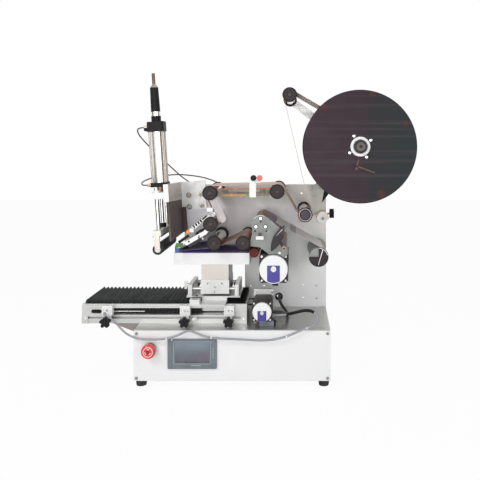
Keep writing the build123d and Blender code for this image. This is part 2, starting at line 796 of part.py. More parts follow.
def estop_button():
    """The mushroom head with its stem."""
    back = BASE_FRONT - ESTOP_COLLAR - ESTOP_TRAVEL - CLEAR
    head = round_y(ESTOP_X, ESTOP_Z, ESTOP_RADIUS, (back - ESTOP_HEAD, back))
    head = fillet(head.faces().sort_by(Axis.Y)[0].edges(), ESTOP_DOME)
    stem = round_y(ESTOP_X, ESTOP_Z, ESTOP_STEM_RADIUS, (back, back + ESTOP_STEM))
    return head + stem


def shaft_places():
    """Centres of the fixed roller shafts, with their radii."""
    places = [(x, z, ROLLER_SHAFT_RADIUS) for x, z in ROLLERS.values()]
    places.append((NIP_ROLLER_X, NIP_ROLLER_Z, NIP_SHAFT_RADIUS))
    return places


def back_plate():
    """The upright plate, stepped at its lower left, with two welded gussets behind it."""
    outline = polygon(
        (PLATE_LEFT, PLATE_ARM_BOTTOM),
        (PLATE_FOOT_LEFT, PLATE_ARM_BOTTOM),
        (PLATE_FOOT_LEFT, DECK_Z),
        (PLATE_RIGHT, DECK_Z),
        (PLATE_RIGHT, PLATE_TOP),
        (PLATE_LEFT, PLATE_TOP),
    )
    outline = fillet(outline.vertices().sort_by(Axis.Y)[-2:], PLATE_CORNER)
    for x, z, radius in shaft_places():
        outline -= disc((x, z), radius)
    for x in (-PATTERN_WIDTH / 2, PATTERN_WIDTH / 2):
        for z in (-PATTERN_HEIGHT / 2, PATTERN_HEIGHT / 2):
            outline -= disc((PATTERN_X + x, PATTERN_Z + z), PATTERN_HOLE_RADIUS)
    outline -= disc((GROMMET_X, GROMMET_Z), GROMMET_HOLE_RADIUS)
    for hole in SPARE_HOLES:
        outline -= disc(hole, SPARE_HOLE_RADIUS)
    outline -= disc((DRIVE_X, DRIVE_Z), DRIVE_SHAFT_RADIUS + RUNNING_FIT)
    outline -= disc((REWIND_X, REWIND_Z), REWIND_SHAFT_RADIUS + RUNNING_FIT)
    plate = slab(outline, (PLATE_FACE_Y, PLATE_REAR_Y))
    for x in GUSSET_X:
        plate += gusset(x)
    return plate


def gusset(x):
    """A triangular stiffener with a foot on the deck."""
    rear = PLATE_REAR_Y + GUSSET_DEPTH
    corners = (
        (PLATE_REAR_Y, DECK_Z),
        (rear, DECK_Z),
        (rear, DECK_Z + GUSSET_FOOT),
        (PLATE_REAR_Y, DECK_Z + GUSSET_HEIGHT),
    )
    web = Pos(x, 0, 0) * extrude(Plane.YZ * polygon(*corners), amount=GUSSET_THICKNESS)
    foot = block(
        (x, x + GUSSET_FOOT), (PLATE_REAR_Y, rear), (DECK_Z, DECK_Z + GUSSET_THICKNESS)
    )
    return web + foot


def extrusion(ys, slot_front):
    """One slotted table extrusion, with a slot along its outer side."""
    bar = block((TABLE_LEFT, TABLE_RIGHT), ys, (DECK_Z, EXTRUSION_TOP))
    lengths = (TABLE_LEFT - OVERRUN, TABLE_RIGHT + OVERRUN)
    middle = KNOB_Z
    outer, inward = (ys[0], 1) if slot_front else (ys[1], -1)
    mouth = sorted((outer - inward * OVERRUN, outer + inward * SLOT_DEPTH))
    pocket = sorted((outer + inward * SLOT_LIP, outer + inward * SLOT_DEPTH))
    bar -= block(lengths, mouth, (middle - SLOT_MOUTH / 2, middle + SLOT_MOUTH / 2))
    bar -= block(lengths, pocket, (middle - SLOT_INNER / 2, middle + SLOT_INNER / 2))
    return bar


def slide_extrusions():
    """The two extrusions that carry the table, with the clamp plates on the front one."""
    front = extrusion((TABLE_FRONT, TABLE_FRONT + EXTRUSION), True)
    back = extrusion((TABLE_BACK - EXTRUSION, TABLE_BACK), False)
    plates = [
        block(xs, (TABLE_FRONT - CLAMP_PLATE, TABLE_FRONT), (DECK_Z, EXTRUSION_TOP))
        for xs in CLAMP_PLATE_X
    ]
    return group(front, back, *plates)


def slide_frame():
    """The table's side rails, end blocks, cross plates and shafts, and a thin rod in the front window."""
    frame = Part()
    for ys in ((TABLE_FRONT, INNER_FRONT), (INNER_BACK, TABLE_BACK)):
        frame += block((TABLE_LEFT, TABLE_RIGHT), ys, (RAIL_BOTTOM, RAIL_TOP))
        ends = ((TABLE_LEFT, TABLE_LEFT + LEFT_END_LENGTH), (TABLE_RIGHT - RIGHT_END_LENGTH, TABLE_RIGHT))
        for xs in ends:
            frame += block(xs, ys, (EXTRUSION_TOP, RAIL_BOTTOM))
    slot_z = EXTRUSION_TOP + WINDOW_HEIGHT / 2
    slot_right = TABLE_LEFT + LEFT_END_LENGTH - END_SLOT_RADIUS * 2
    slot_left = slot_right - END_SLOT_LENGTH + END_SLOT_RADIUS
    slot = link((slot_left, slot_z), (slot_right, slot_z), END_SLOT_RADIUS)
    frame -= slab(slot, (TABLE_FRONT - OVERRUN, INNER_FRONT + OVERRUN))
    rod_left = TABLE_LEFT + LEFT_END_LENGTH
    rod_y = (TABLE_FRONT + INNER_FRONT) / 2
    rod_xs = (rod_left - WINDOW_ROD_SEAT, rod_left + WINDOW_ROD_LENGTH)
    frame += round_x(rod_y, EXTRUSION_TOP + WINDOW_ROD_RISE, WINDOW_ROD_RADIUS, rod_xs)
    belt_ys = (TABLE_BELT_Y - TABLE_BELT_WIDTH, TABLE_BELT_Y + TABLE_BELT_WIDTH)
    belt_reach = TABLE_PULLEY_RADIUS + 2 * BELT_THICKNESS
    belt_zs = (TABLE_MOTOR_Z - belt_reach, TABLE_MOTOR_Z + belt_reach)
    for left in (TABLE_LEFT, TABLE_RIGHT - CROSS_PLATE):
        plate = block((left, left + CROSS_PLATE), (INNER_FRONT, INNER_BACK), (EXTRUSION_TOP, RAIL_TOP))
        plate -= block((left - OVERRUN, left + CROSS_PLATE + OVERRUN), belt_ys, belt_zs)
        frame += plate
    shafts = [
        round_x(y, SHAFT_Z, SHAFT_RADIUS, (TABLE_LEFT + CROSS_PLATE, TABLE_RIGHT - CROSS_PLATE))
        for y in SHAFT_Y
    ]
    return group(frame, *shafts)


def zigzag(left, right, peak, valley, base):
    """An outline whose upper edge zigzags between two levels."""
    pitch = (right - left) / BELLOWS_FOLDS
    points = [(left, base), (left, valley)]
    for fold in range(BELLOWS_FOLDS):
        points.append((left + pitch * (fold + 1 / 2), peak))
        points.append((left + pitch * (fold + 1), valley))
    points.append((right, base))
    return polygon(*points)


def bellows_block(left, right, inset):
    """The bellows' outer form, drawn in by an inset, as one solid."""
    middle = (INNER_FRONT + INNER_BACK) / 2
    half = (INNER_BACK - INNER_FRONT) / 2 - CLEAR - inset
    top = BELLOWS_TOP - inset
    base = BELLOWS_BOTTOM - inset
    crown = zigzag(left, right, top, top - BELLOWS_FOLD_DEPTH, base)
    crown = slab(crown, (middle - half, middle + half))
    side = zigzag(left, right, half, half - BELLOWS_FOLD_DEPTH, 0)
    sides = side + mirror(side, about=Plane.XZ)
    walls = Pos(0, middle, base) * extrude(sides, amount=top - base)
    return crown & walls


def bellows(left, right):
    """A folded cover: the outer form less the room inside it."""
    return bellows_block(left, right, 0) - bellows_block(left, right, BELLOWS_CLOTH)


def table_motor():
    """The table motor on its bracket, with a round cap in front."""
    bracket_left = TABLE_MOTOR_X - MOTOR_BRACKET_WIDTH / 2
    bracket_xs = (bracket_left, bracket_left + MOTOR_BRACKET_WIDTH)
    plate_ys = (TABLE_MOTOR_BACK, TABLE_MOTOR_BACK + MOTOR_BRACKET)
    foot_ys = (TABLE_MOTOR_BACK, TABLE_MOTOR_BACK + MOTOR_BRACKET_FOOT)
    plate = block(bracket_xs, plate_ys, (DECK_Z, DECK_Z + MOTOR_BRACKET_HEIGHT))
    foot = block(bracket_xs, foot_ys, (DECK_Z, DECK_Z + MOTOR_BRACKET))
    shaft_bore = round_y(
        TABLE_MOTOR_X, TABLE_MOTOR_Z, TABLE_MOTOR_SHAFT_RADIUS + RUNNING_FIT,
        (TABLE_MOTOR_BACK - MOTOR_BRACKET_FOOT, TABLE_MOTOR_BACK + MOTOR_BRACKET + OVERRUN),
    )
    bracket = plate + foot - shaft_bore
    body = motor_body(TABLE_MOTOR_X, TABLE_MOTOR_Z, TABLE_MOTOR_SIZE, (TABLE_MOTOR_FRONT, TABLE_MOTOR_BACK))
    body -= shaft_bore
    cap_ys = (TABLE_MOTOR_FRONT - TABLE_MOTOR_CAP, TABLE_MOTOR_FRONT)
    cap = round_y(TABLE_MOTOR_X, TABLE_MOTOR_Z, TABLE_MOTOR_CAP_RADIUS, cap_ys)
    cap = fillet(cap.faces().sort_by(Axis.Y)[0].edges(), MOTOR_CAP_EDGE)
    return group(bracket, body, cap)


def motor_body(x, z, size, ys):
    """A square motor body with cut corners."""
    outline = Pos(x, z) * Rectangle(size, size)
    outline = chamfer(outline.vertices(), MOTOR_CORNER)
    return slab(outline, ys)


def flanged_pulley(x, z, radius, ys):
    """A pulley with a rim at each side of its belt."""
    front, back = ys
    pulley = round_y(x, z, radius, ys)
    for low, high in ((front, front + PULLEY_RIM), (back - PULLEY_RIM, back)):
        pulley += round_y(x, z, radius + BELT_THICKNESS + PULLEY_RIM, (low, high))
    return pulley


def table_pulley():
    """The pulley on the table motor's shaft."""
    half = TABLE_BELT_WIDTH / 2 + PULLEY_RIM + CLEAR
    pulley = flanged_pulley(
        TABLE_MOTOR_X, TABLE_MOTOR_Z, TABLE_PULLEY_RADIUS - CLEAR, (TABLE_BELT_Y - half, TABLE_BELT_Y + half)
    )
    shaft = round_y(
        TABLE_MOTOR_X, TABLE_MOTOR_Z, TABLE_MOTOR_SHAFT_RADIUS,
        (TABLE_MOTOR_BACK - MOTOR_BRACKET_FOOT / 2, TABLE_BELT_Y),
    )
    return pulley + shaft


def belt_loop(start, start_radius, end, end_radius, ys):
    """A closed belt round two wheels."""
    outer = tapered_link(start, start_radius + BELT_THICKNESS, end, end_radius + BELT_THICKNESS)
    inner = tapered_link(start, start_radius, end, end_radius)
    return slab(outer - inner, ys)


def drive_belts():
    """The table belt with its idler, and the traction belt."""
    table_ys = (TABLE_BELT_Y - TABLE_BELT_WIDTH / 2, TABLE_BELT_Y + TABLE_BELT_WIDTH / 2)
    idler_centre = (IDLER_X, TABLE_MOTOR_Z)
    motor_centre = (TABLE_MOTOR_X, TABLE_MOTOR_Z)
    table_belt = belt_loop(idler_centre, TABLE_PULLEY_RADIUS, motor_centre, TABLE_PULLEY_RADIUS, table_ys)
    idler = round_y(IDLER_X, TABLE_MOTOR_Z, TABLE_PULLEY_RADIUS, table_ys)
    middle = DRIVE_PULLEY_FRONT + DRIVE_PULLEY_WIDTH / 2
    traction_ys = (middle - DRIVE_BELT_WIDTH / 2 + CLEAR, middle + DRIVE_BELT_WIDTH / 2 - CLEAR)
    traction_belt = belt_loop(
        (MOTOR_X, MOTOR_Z), MOTOR_PULLEY_RADIUS, (DRIVE_X, DRIVE_Z), DRIVE_PULLEY_RADIUS, traction_ys
    )
    return group(table_belt, idler, traction_belt)


def carriage():
    """The carriage: bearing blocks on the shafts, top plate, riser and the jig frame on it."""
    xs = (CARRIAGE_LEFT, CARRIAGE_RIGHT)
    plate_top = CARRIAGE_PLATE_Z + CARRIAGE_PLATE
    body = block(xs, (CARRIAGE_FRONT, CARRIAGE_BACK), (CARRIAGE_PLATE_Z, plate_top))
    flag_xs = (FLAG_LEFT, CARRIAGE_LEFT)
    body += block(flag_xs, (CARRIAGE_FRONT, FLAG_BACK + CLEAR), (CARRIAGE_PLATE_Z, plate_top))
    body += block(flag_xs, (FLAG_FRONT, FLAG_BACK), (plate_top, plate_top + FLAG_HEIGHT))
    body += block(xs, (JIG_FRONT, JIG_BACK), (plate_top, JIG_FLANGE_Z))
    for y in SHAFT_Y:
        ys = (y - CARRIAGE_BLOCK_DEPTH / 2, y + CARRIAGE_BLOCK_DEPTH / 2)
        body += block(xs, ys, (CARRIAGE_BLOCK_BOTTOM, CARRIAGE_PLATE_Z))
        body -= round_x(
            y, SHAFT_Z, SHAFT_RADIUS + RUNNING_FIT, (CARRIAGE_LEFT - OVERRUN, CARRIAGE_RIGHT + OVERRUN)
        )
    return group(body, jig_frame())


def jig_shaft_depths():
    """Depths of the two cross shafts."""
    return (JIG_FRONT + JIG_SHAFT_INSET, JIG_BACK - JIG_SHAFT_INSET)


def jig_frame():
    """The flange with two upright ends and the cross shafts between them."""
    ys = (JIG_FRONT, JIG_BACK)
    frame = block((JIG_LEFT, JIG_RIGHT), ys, (JIG_FLANGE_Z, JIG_FLANGE_TOP))
    for left in (JIG_LEFT + JIG_END_INSET, JIG_RIGHT - JIG_END_INSET - JIG_END):
        frame += block((left, left + JIG_END), ys, (JIG_FLANGE_TOP, JIG_FLANGE_TOP + JIG_END_HEIGHT))
    bore_xs = (JIG_LEFT - OVERRUN, JIG_LEFT + JIG_END * 2)
    frame -= round_x(WING_Y, WING_Z, WING_STEM_RADIUS + RUNNING_FIT, bore_xs)
    left = JIG_LEFT + JIG_END_INSET + JIG_END
    right = JIG_RIGHT - JIG_END_INSET - JIG_END
    for y in jig_shaft_depths():
        frame += round_x(y, JIG_SHAFT_Z, JIG_SHAFT_RADIUS, (left, right))
    return frame


def jig_slider():
    """The block that slides on the cross shafts, with the pedestal above it."""
    xs = (SLIDER_LEFT, SLIDER_RIGHT)
    body = block(xs, (JIG_FRONT, JIG_BACK), (SLIDER_BOTTOM, SLIDER_TOP))
    for y in jig_shaft_depths():
        body -= round_x(
            y, JIG_SHAFT_Z, JIG_SHAFT_RADIUS + RUNNING_FIT, (SLIDER_LEFT - OVERRUN, SLIDER_RIGHT + OVERRUN)
        )
    middle = ((SLIDER_LEFT + SLIDER_RIGHT) / 2, (SLIDER_BOTTOM + SLIDER_TOP) / 2)
    ring = disc(middle, SLIDER_RING_RADIUS) - disc(middle, SLIDER_RING_RADIUS - SLIDER_RING_WIDTH)
    body -= slab(ring, (JIG_FRONT - OVERRUN, JIG_FRONT + SLIDER_RING_DEPTH))
    corner_x = (SLIDER_RIGHT - SLIDER_LEFT) / 4
    corner_z = (SLIDER_TOP - SLIDER_BOTTOM) / 4
    for x, z in ((0, 0), (-corner_x, corner_z), (corner_x, corner_z), (0, -corner_z * 3 / 2)):
        hole = disc((middle[0] + x, middle[1] + z), SLIDER_HOLE_RADIUS)
        body -= slab(hole, (JIG_FRONT - OVERRUN, JIG_FRONT + SLIDER_HOLE_DEPTH))
    pedestal_xs = (SLIDER_LEFT + PEDESTAL_INSET, SLIDER_RIGHT - PEDESTAL_INSET)
    pedestal = block(pedestal_xs, (JIG_FRONT + PEDESTAL_INSET, JIG_BACK), (SLIDER_TOP, PEDESTAL_TOP))
    sole = block(
        (SOLE_PLATE_LEFT, PLATFORM_RIGHT - SOLE_PLATE_INSET),
        (PLATFORM_FRONT + SOLE_PLATE_INSET, PLATFORM_BACK - SOLE_PLATE_INSET),
        (PEDESTAL_TOP, PLATFORM_BOTTOM),
    )
    return group(body + pedestal + sole)


def platform_outline(margin):
    """The platform's plan, drawn in by a margin."""
    return (
        (PLATFORM_LEFT + margin, PLATFORM_RIGHT - margin),
        (PLATFORM_FRONT + margin, PLATFORM_BACK - margin),
    )


def platform_tray():
    """The white tray that holds the soft pad."""
    pad_bottom = PLATFORM_TOP - PAD_THICKNESS
    tray = block(*platform_outline(0), (PLATFORM_BOTTOM, PLATFORM_TOP))
    return tray - block(*platform_outline(PLATFORM_RIM), (pad_bottom, PLATFORM_TOP + OVERRUN))


def platform_pad():
    """The soft pad in the tray."""
    return block(*platform_outline(PLATFORM_RIM + CLEAR), (PLATFORM_TOP - PAD_THICKNESS, PLATFORM_TOP))


def wing_screw():
    """The wing screw in the left end of the jig."""
    face = JIG_LEFT + JIG_END_INSET
    stem = round_x(WING_Y, WING_Z, WING_STEM_RADIUS, (face - WING_HUB, face - WING_HUB + WING_STEM))
    hub = round_x(WING_Y, WING_Z, WING_HUB_RADIUS, (face - WING_HUB, face - CLEAR))
    wings = block(
        (face - WING_HUB - WING_DEPTH, face - WING_HUB + CLEAR),
        (WING_Y - WING_THICKNESS / 2, WING_Y + WING_THICKNESS / 2),
        (WING_Z - WING_SPAN / 2, WING_Z + WING_SPAN / 2),
    )
    return stem + hub + wings


def sensor_block(side):
    """A sensor block on the table's front rail, with a tab down to the slot."""
    x = SENSOR_CENTRES_X[side]
    back = TABLE_FRONT - CLEAR
    front = back - SENSOR_DEPTH
    body = block(
        (x - SENSOR_WIDTH / 2, x + SENSOR_WIDTH / 2), (front, back), (SENSOR_BOTTOM_Z[side], SENSOR_TOP_Z)
    )
    body = fillet(body.faces().sort_by(Axis.Y)[0].edges(), CLEAR * 2)
    middle = (SENSOR_BOTTOM_Z[side] + SENSOR_TOP_Z) / 2
    body -= round_y(x, middle, SENSOR_BORE_RADIUS, (front - OVERRUN, front + SENSOR_DEPTH / 2))
    tab_x = KNOB_X[side]
    tab = block(
        (tab_x - SENSOR_TAB_WIDTH / 2, tab_x + SENSOR_TAB_WIDTH / 2),
        (front, front + SENSOR_TAB),
        (KNOB_Z - SENSOR_TAB_WIDTH / 2, SENSOR_BOTTOM_Z[side]),
    )
    bore_ys = (front - OVERRUN, front + SENSOR_TAB + OVERRUN)
    tab -= round_y(tab_x, KNOB_Z, KNOB_STEM_RADIUS + RUNNING_FIT, bore_ys)
    return body + tab


def star_outline():
    """The outline of a five-lobed knob, about its own middle."""
    outline = Circle(KNOB_WAIST_RADIUS)
    for lobe in range(KNOB_LOBES):
        angle = 90 + lobe * 360 / KNOB_LOBES
        reach = KNOB_RADIUS - KNOB_LOBE_RADIUS
        outline += Rot(0, 0, angle) * Pos(reach, 0) * Circle(KNOB_LOBE_RADIUS)
    return outline


def star_knob(side):
    """A five-lobed knob whose stem reaches into the extrusion's slot."""
    x = KNOB_X[side]
    head = slab(Pos(x, KNOB_Z) * star_outline(), (KNOB_FRONT, KNOB_FRONT + KNOB_THICKNESS))
    stem = round_y(
        x, KNOB_Z, KNOB_STEM_RADIUS, (KNOB_FRONT + KNOB_THICKNESS, TABLE_FRONT + SLOT_DEPTH - CLEAR)
    )
    return head + stem


def lean(shape):
    """Lean a press piece, built upright, about the press roller's axis."""
    return Pos(PRESS_X, 0, PRESS_Z) * Rot(0, -PRESS_LEAN, 0) * Pos(-PRESS_X, 0, -PRESS_Z) * shape


def press_round(radius, zs):
    """A cylinder along the upright press axis."""
    return round_z(PRESS_X, PRESS_Y, radius, zs)


def press_cylinder():
    """The pneumatic cylinder: neck, head, barrel, tie rods, foot cap, nose and port fittings."""
    bore = press_round(REAR_ROD_RADIUS + RUNNING_FIT, (GUIDE_BLOCK_BOTTOM, NECK_TOP + OVERRUN))
    half = HEAD_SIZE / 2
    xs = (PRESS_X - half, PRESS_X + half)
    ys = (PRESS_Y - half, PRESS_Y + half)
    head = block(xs, ys, (HEAD_BOTTOM, HEAD_TOP))
    head = chamfer(head.edges().filter_by(Axis.Z), HEAD_SIZE / 10)
    head += press_round(NECK_RADIUS, (HEAD_TOP, NECK_TOP))
    foot = block(xs, ys, (FOOT_CAP_BOTTOM, BARREL_BOTTOM))
    foot = chamfer(foot.edges().filter_by(Axis.Z), HEAD_SIZE / 10)
    foot += press_round(NOSE_RADIUS, (GUIDE_BLOCK_TOP, FOOT_CAP_BOTTOM))
    barrel = press_round(BARREL_RADIUS, (BARREL_BOTTOM, HEAD_BOTTOM))
    barrel -= press_round(BARREL_BORE_RADIUS, (BARREL_BOTTOM - OVERRUN, HEAD_BOTTOM + OVERRUN))
    tie_rods = [
        round_z(PRESS_X + x, PRESS_Y + y, TIE_ROD_RADIUS, (BARREL_BOTTOM, HEAD_BOTTOM))
        for x in (-TIE_ROD_OFFSET, TIE_ROD_OFFSET)
        for y in (-TIE_ROD_OFFSET, TIE_ROD_OFFSET)
    ]
    fittings = []
    for z in ((HEAD_BOTTOM + HEAD_TOP) / 2, (FOOT_CAP_BOTTOM + BARREL_BOTTOM) / 2):
        face = PRESS_X - half
        fittings.append(round_x(PRESS_Y, z, FITTING_NUT_RADIUS, (face - FITTING_NUT, face)))
        fittings.append(round_x(PRESS_Y, z, FITTING_RADIUS, (face - FITTING_LENGTH, face - FITTING_NUT)))
    return lean(group(head - bore, foot - bore, barrel, *tie_rods, *fittings))


def press_rod():
    """The through rod with its piston, stop ring and long adjusting nut."""
    rod = press_round(REAR_ROD_RADIUS, (YOKE_TOP, REAR_ROD_TOP))
    piston_low = BARREL_BOTTOM + CLEAR
    rod += press_round(BARREL_BORE_RADIUS - RUNNING_FIT, (piston_low, piston_low + PISTON_THICKNESS))
    rod += press_round(GRIP_RADIUS, (RING_BOTTOM, RING_TOP))
    rod += cone_z(PRESS_X, PRESS_Y, GRIP_RADIUS, GRIP_TOP_RADIUS, (RING_TOP, CONE_BASE))
    rod += cone_z(PRESS_X, PRESS_Y, GRIP_TOP_RADIUS, REAR_ROD_RADIUS, (CONE_BASE, CONE_TOP))
    return lean(rod)


def guide_block():
    """The block that guides the yoke's rods, with their bushes."""
    body = block(
        (GUIDE_BLOCK_LEFT, GUIDE_BLOCK_RIGHT),
        (GUIDE_BLOCK_FRONT, GUIDE_BLOCK_BACK),
        (GUIDE_BLOCK_BOTTOM, GUIDE_BLOCK_TOP),
    )
    for y, radius in zip(GUIDE_RODS_Y, GUIDE_RODS_RADIUS):
        bush_top = GUIDE_BLOCK_TOP + GUIDE_BUSH_RISE
        body += round_z(PRESS_X, y, radius + GUIDE_BUSH_WALL, (GUIDE_BLOCK_TOP, bush_top))
        body -= round_z(PRESS_X, y, radius + RUNNING_FIT, (GUIDE_BLOCK_BOTTOM - OVERRUN, bush_top + OVERRUN))
    body -= press_round(PISTON_ROD_RADIUS + CLEAR, (GUIDE_BLOCK_BOTTOM - OVERRUN, GUIDE_BLOCK_TOP + OVERRUN))
    return lean(body)


def press_yoke():
    """The yoke with its two guide rods and the arms that hold the press roller."""
    arm_fronts = (PRESS_ROLLER_FRONT - CLEAR - YOKE_ARM, PRESS_ROLLER_BACK + CLEAR)
    xs = (PRESS_X - YOKE_HALF_WIDTH, PRESS_X + YOKE_HALF_WIDTH)
    yoke = block(xs, (arm_fronts[0], arm_fronts[1] + YOKE_ARM), (YOKE_BOTTOM, YOKE_TOP))
    for y, radius in zip(GUIDE_RODS_Y, GUIDE_RODS_RADIUS):
        yoke += round_z(PRESS_X, y, radius, (YOKE_TOP, GUIDE_ROD_TOP))
    for front in arm_fronts:
        outline = link((PRESS_X, PRESS_Z), (PRESS_X, YOKE_TOP - YOKE_ARM_HALF_WIDTH), YOKE_ARM_HALF_WIDTH)
        yoke += slab(outline, (front, front + YOKE_ARM))
    yoke += round_y(PRESS_X, PRESS_Z, PRESS_PIN_RADIUS, (arm_fronts[0], arm_fronts[1] + YOKE_ARM))
    return lean(yoke)


def press_collar():
    """The coupling nut where the piston rod meets the yoke."""
    collar = press_round(YOKE_COLLAR_RADIUS, (YOKE_TOP, YOKE_TOP + YOKE_COLLAR))
    return lean(collar - press_round(PISTON_ROD_RADIUS, (YOKE_TOP, YOKE_TOP + YOKE_COLLAR + OVERRUN)))


def press_roller():
    """The rubber press roller on its core."""
    ys = (PRESS_ROLLER_FRONT, PRESS_ROLLER_BACK)
    core = round_y(PRESS_X, PRESS_Z, PRESS_CORE_RADIUS, ys)
    rubber = round_y(PRESS_X, PRESS_Z, PRESS_ROLLER_RADIUS, ys) - core
    core -= round_y(PRESS_X, PRESS_Z, PRESS_PIN_RADIUS + RUNNING_FIT, (ys[0] - OVERRUN, ys[1] + OVERRUN))
    return group(rubber, core)


def press_bracket():
    """The side plate and the bolt plate that carry the press unit."""
    left = GUIDE_BLOCK_RIGHT
    right = left + SIDE_PLATE_THICKNESS
    rear = PLATE_FACE_Y - BOLT_PLATE_THICKNESS
    corners = (
        (GUIDE_BLOCK_FRONT, SIDE_PLATE_BOTTOM + SIDE_PLATE_TAPER),
        (rear, SIDE_PLATE_BOTTOM),
        (rear, SIDE_PLATE_TOP - BRACKET_SLOT_DEPTH),
        (GUIDE_BLOCK_FRONT, SIDE_PLATE_TOP),
    )
    side = Pos(left, 0, 0) * extrude(Plane.YZ * polygon(*corners), amount=SIDE_PLATE_THICKNESS)
    for y in BRACKET_SLOTS_Y:
        middle = (SIDE_PLATE_BOTTOM + SIDE_PLATE_TOP) / 2
        slot = SlotCenterToCenter(BRACKET_SLOT_HEIGHT, 2 * BRACKET_SLOT_RADIUS)
        cut = extrude(Plane.YZ * Pos(y, middle) * Rot(0, 0, 90) * slot, amount=BRACKET_SLOT_DEPTH + OVERRUN)
        side -= Pos(right - BRACKET_SLOT_DEPTH, 0, 0) * cut
    outline = polygon(
        (left, BOLT_PLATE_TOP),
        (left, BOLT_PLATE_BOTTOM + BOLT_PLATE_CHAMFER),
        (left + BOLT_PLATE_CHAMFER, BOLT_PLATE_BOTTOM),
        (BOLT_PLATE_RIGHT, BOLT_PLATE_BOTTOM),
        (BOLT_PLATE_RIGHT, BOLT_PLATE_TOP),
    )
    for x in PRESS_BOLTS_X:
        for z in PRESS_BOLTS_Z:
            outline -= disc((x, z), BOLT_SHANK_RADIUS)
    plate = slab(outline, (rear, PLATE_FACE_Y))
    return lean(group(side, plate))


def guide_roller(name):
    """A tube roller with end flanges, bored for its fixed shaft."""
    x, z = ROLLERS[name]
    capped = name in CAPPED_SHAFTS
    front = CAPPED_TUBE_FRONT if capped else ROLLER_FRONT
    tube_ys = (front, ROLLER_BACK)
    roller = round_y(x, z, ROLLER_RADIUS, tube_ys)
    roller += round_y(x, z, ROLLER_FLANGE_RADIUS, (ROLLER_BACK - ROLLER_FLANGE, ROLLER_BACK))
    if not capped:
        roller += round_y(x, z, ROLLER_FLANGE_RADIUS, (front, front + ROLLER_FLANGE))
    bore_front = front - OVERRUN if capped else ROLLER_FRONT + SHAFT_END - CLEAR
    roller -= round_y(x, z, ROLLER_SHAFT_RADIUS + RUNNING_FIT, (bore_front, ROLLER_BACK + OVERRUN))
    hollow = (front + ROLLER_HUB, ROLLER_BACK - ROLLER_HUB)
    return roller - round_y(x, z, ROLLER_RADIUS - ROLLER_WALL, hollow)


def nip_roller():
    """The small rubber roller below the drive roller."""
    ys = (NIP_ROLLER_FRONT, NIP_ROLLER_BACK)
    roller = round_y(NIP_ROLLER_X, NIP_ROLLER_Z, NIP_ROLLER_RADIUS, ys)
    bore = (NIP_ROLLER_FRONT + SHAFT_END, NIP_ROLLER_BACK + OVERRUN)
    return roller - round_y(NIP_ROLLER_X, NIP_ROLLER_Z, NIP_SHAFT_RADIUS + RUNNING_FIT, bore)


def plate_shafts():
    """Fixed shafts with collars and rear nuts, shaft caps, and the traction unit's pillars."""
    pieces = []
    for name, (x, z) in ROLLERS.items():
        capped = name in CAPPED_SHAFTS
        front = ROLLER_FRONT + (ROLLER_FLANGE if capped else SHAFT_END)
        shaft = round_y(x, z, ROLLER_SHAFT_RADIUS, (front, PLATE_REAR_Y + SHAFT_NUT))
        shaft += round_y(x, z, SHAFT_COLLAR_RADIUS, (COLLAR_FRONT, PLATE_FACE_Y))
        shaft += round_y(x, z, SHAFT_NUT_RADIUS, (PLATE_REAR_Y, PLATE_REAR_Y + SHAFT_NUT))
        pieces.append(shaft)
        if capped:
            pieces.append(round_y(x, z, ROLLER_FLANGE_RADIUS, (ROLLER_FRONT, ROLLER_FRONT + ROLLER_FLANGE)))
    nip = round_y(
        NIP_ROLLER_X, NIP_ROLLER_Z, NIP_SHAFT_RADIUS, (NIP_ROLLER_FRONT + SHAFT_END + CLEAR, PLATE_REAR_Y)
    )
    nip += round_y(
        NIP_ROLLER_X, NIP_ROLLER_Z, SHAFT_COLLAR_RADIUS, (NIP_ROLLER_BACK + CLEAR, PLATE_FACE_Y)
    )
    pieces.append(nip)
    for x, z in PILLARS:
        pieces.append(round_y(x, z, PILLAR_RADIUS, (TRACTION_FRONT + TRACTION_PLATE, PLATE_FACE_Y)))
    return group(*pieces)


def front_links():
    """The tie bar across the two upper shafts and the link arm that hangs on the left one."""
    left = ROLLERS["upper_left_roller"]
    right = ROLLERS["upper_right_roller"]
    bar = link(left, right, TIE_BAR_HALF_HEIGHT)
    middle = between(left, right, 1 / 2)
    slot_z = middle[1] + TIE_SLOT_RISE
    slot_ends = ((middle[0] - TIE_SLOT_HALF_LENGTH, slot_z), (middle[0] + TIE_SLOT_HALF_LENGTH, slot_z))
    bar -= link(*slot_ends, TIE_SLOT_RADIUS)
    for centre in (left, right):
        bar -= disc(centre, ROLLER_SHAFT_RADIUS)
    arm = link(left, LINK_ARM_END, LINK_ARM_HALF_WIDTH) - disc(left, ROLLER_SHAFT_RADIUS)
    return group(slab(bar, (LINK_FRONT, LINK_BACK)), slab(arm, (SECOND_LINK_FRONT, SECOND_LINK_BACK)))


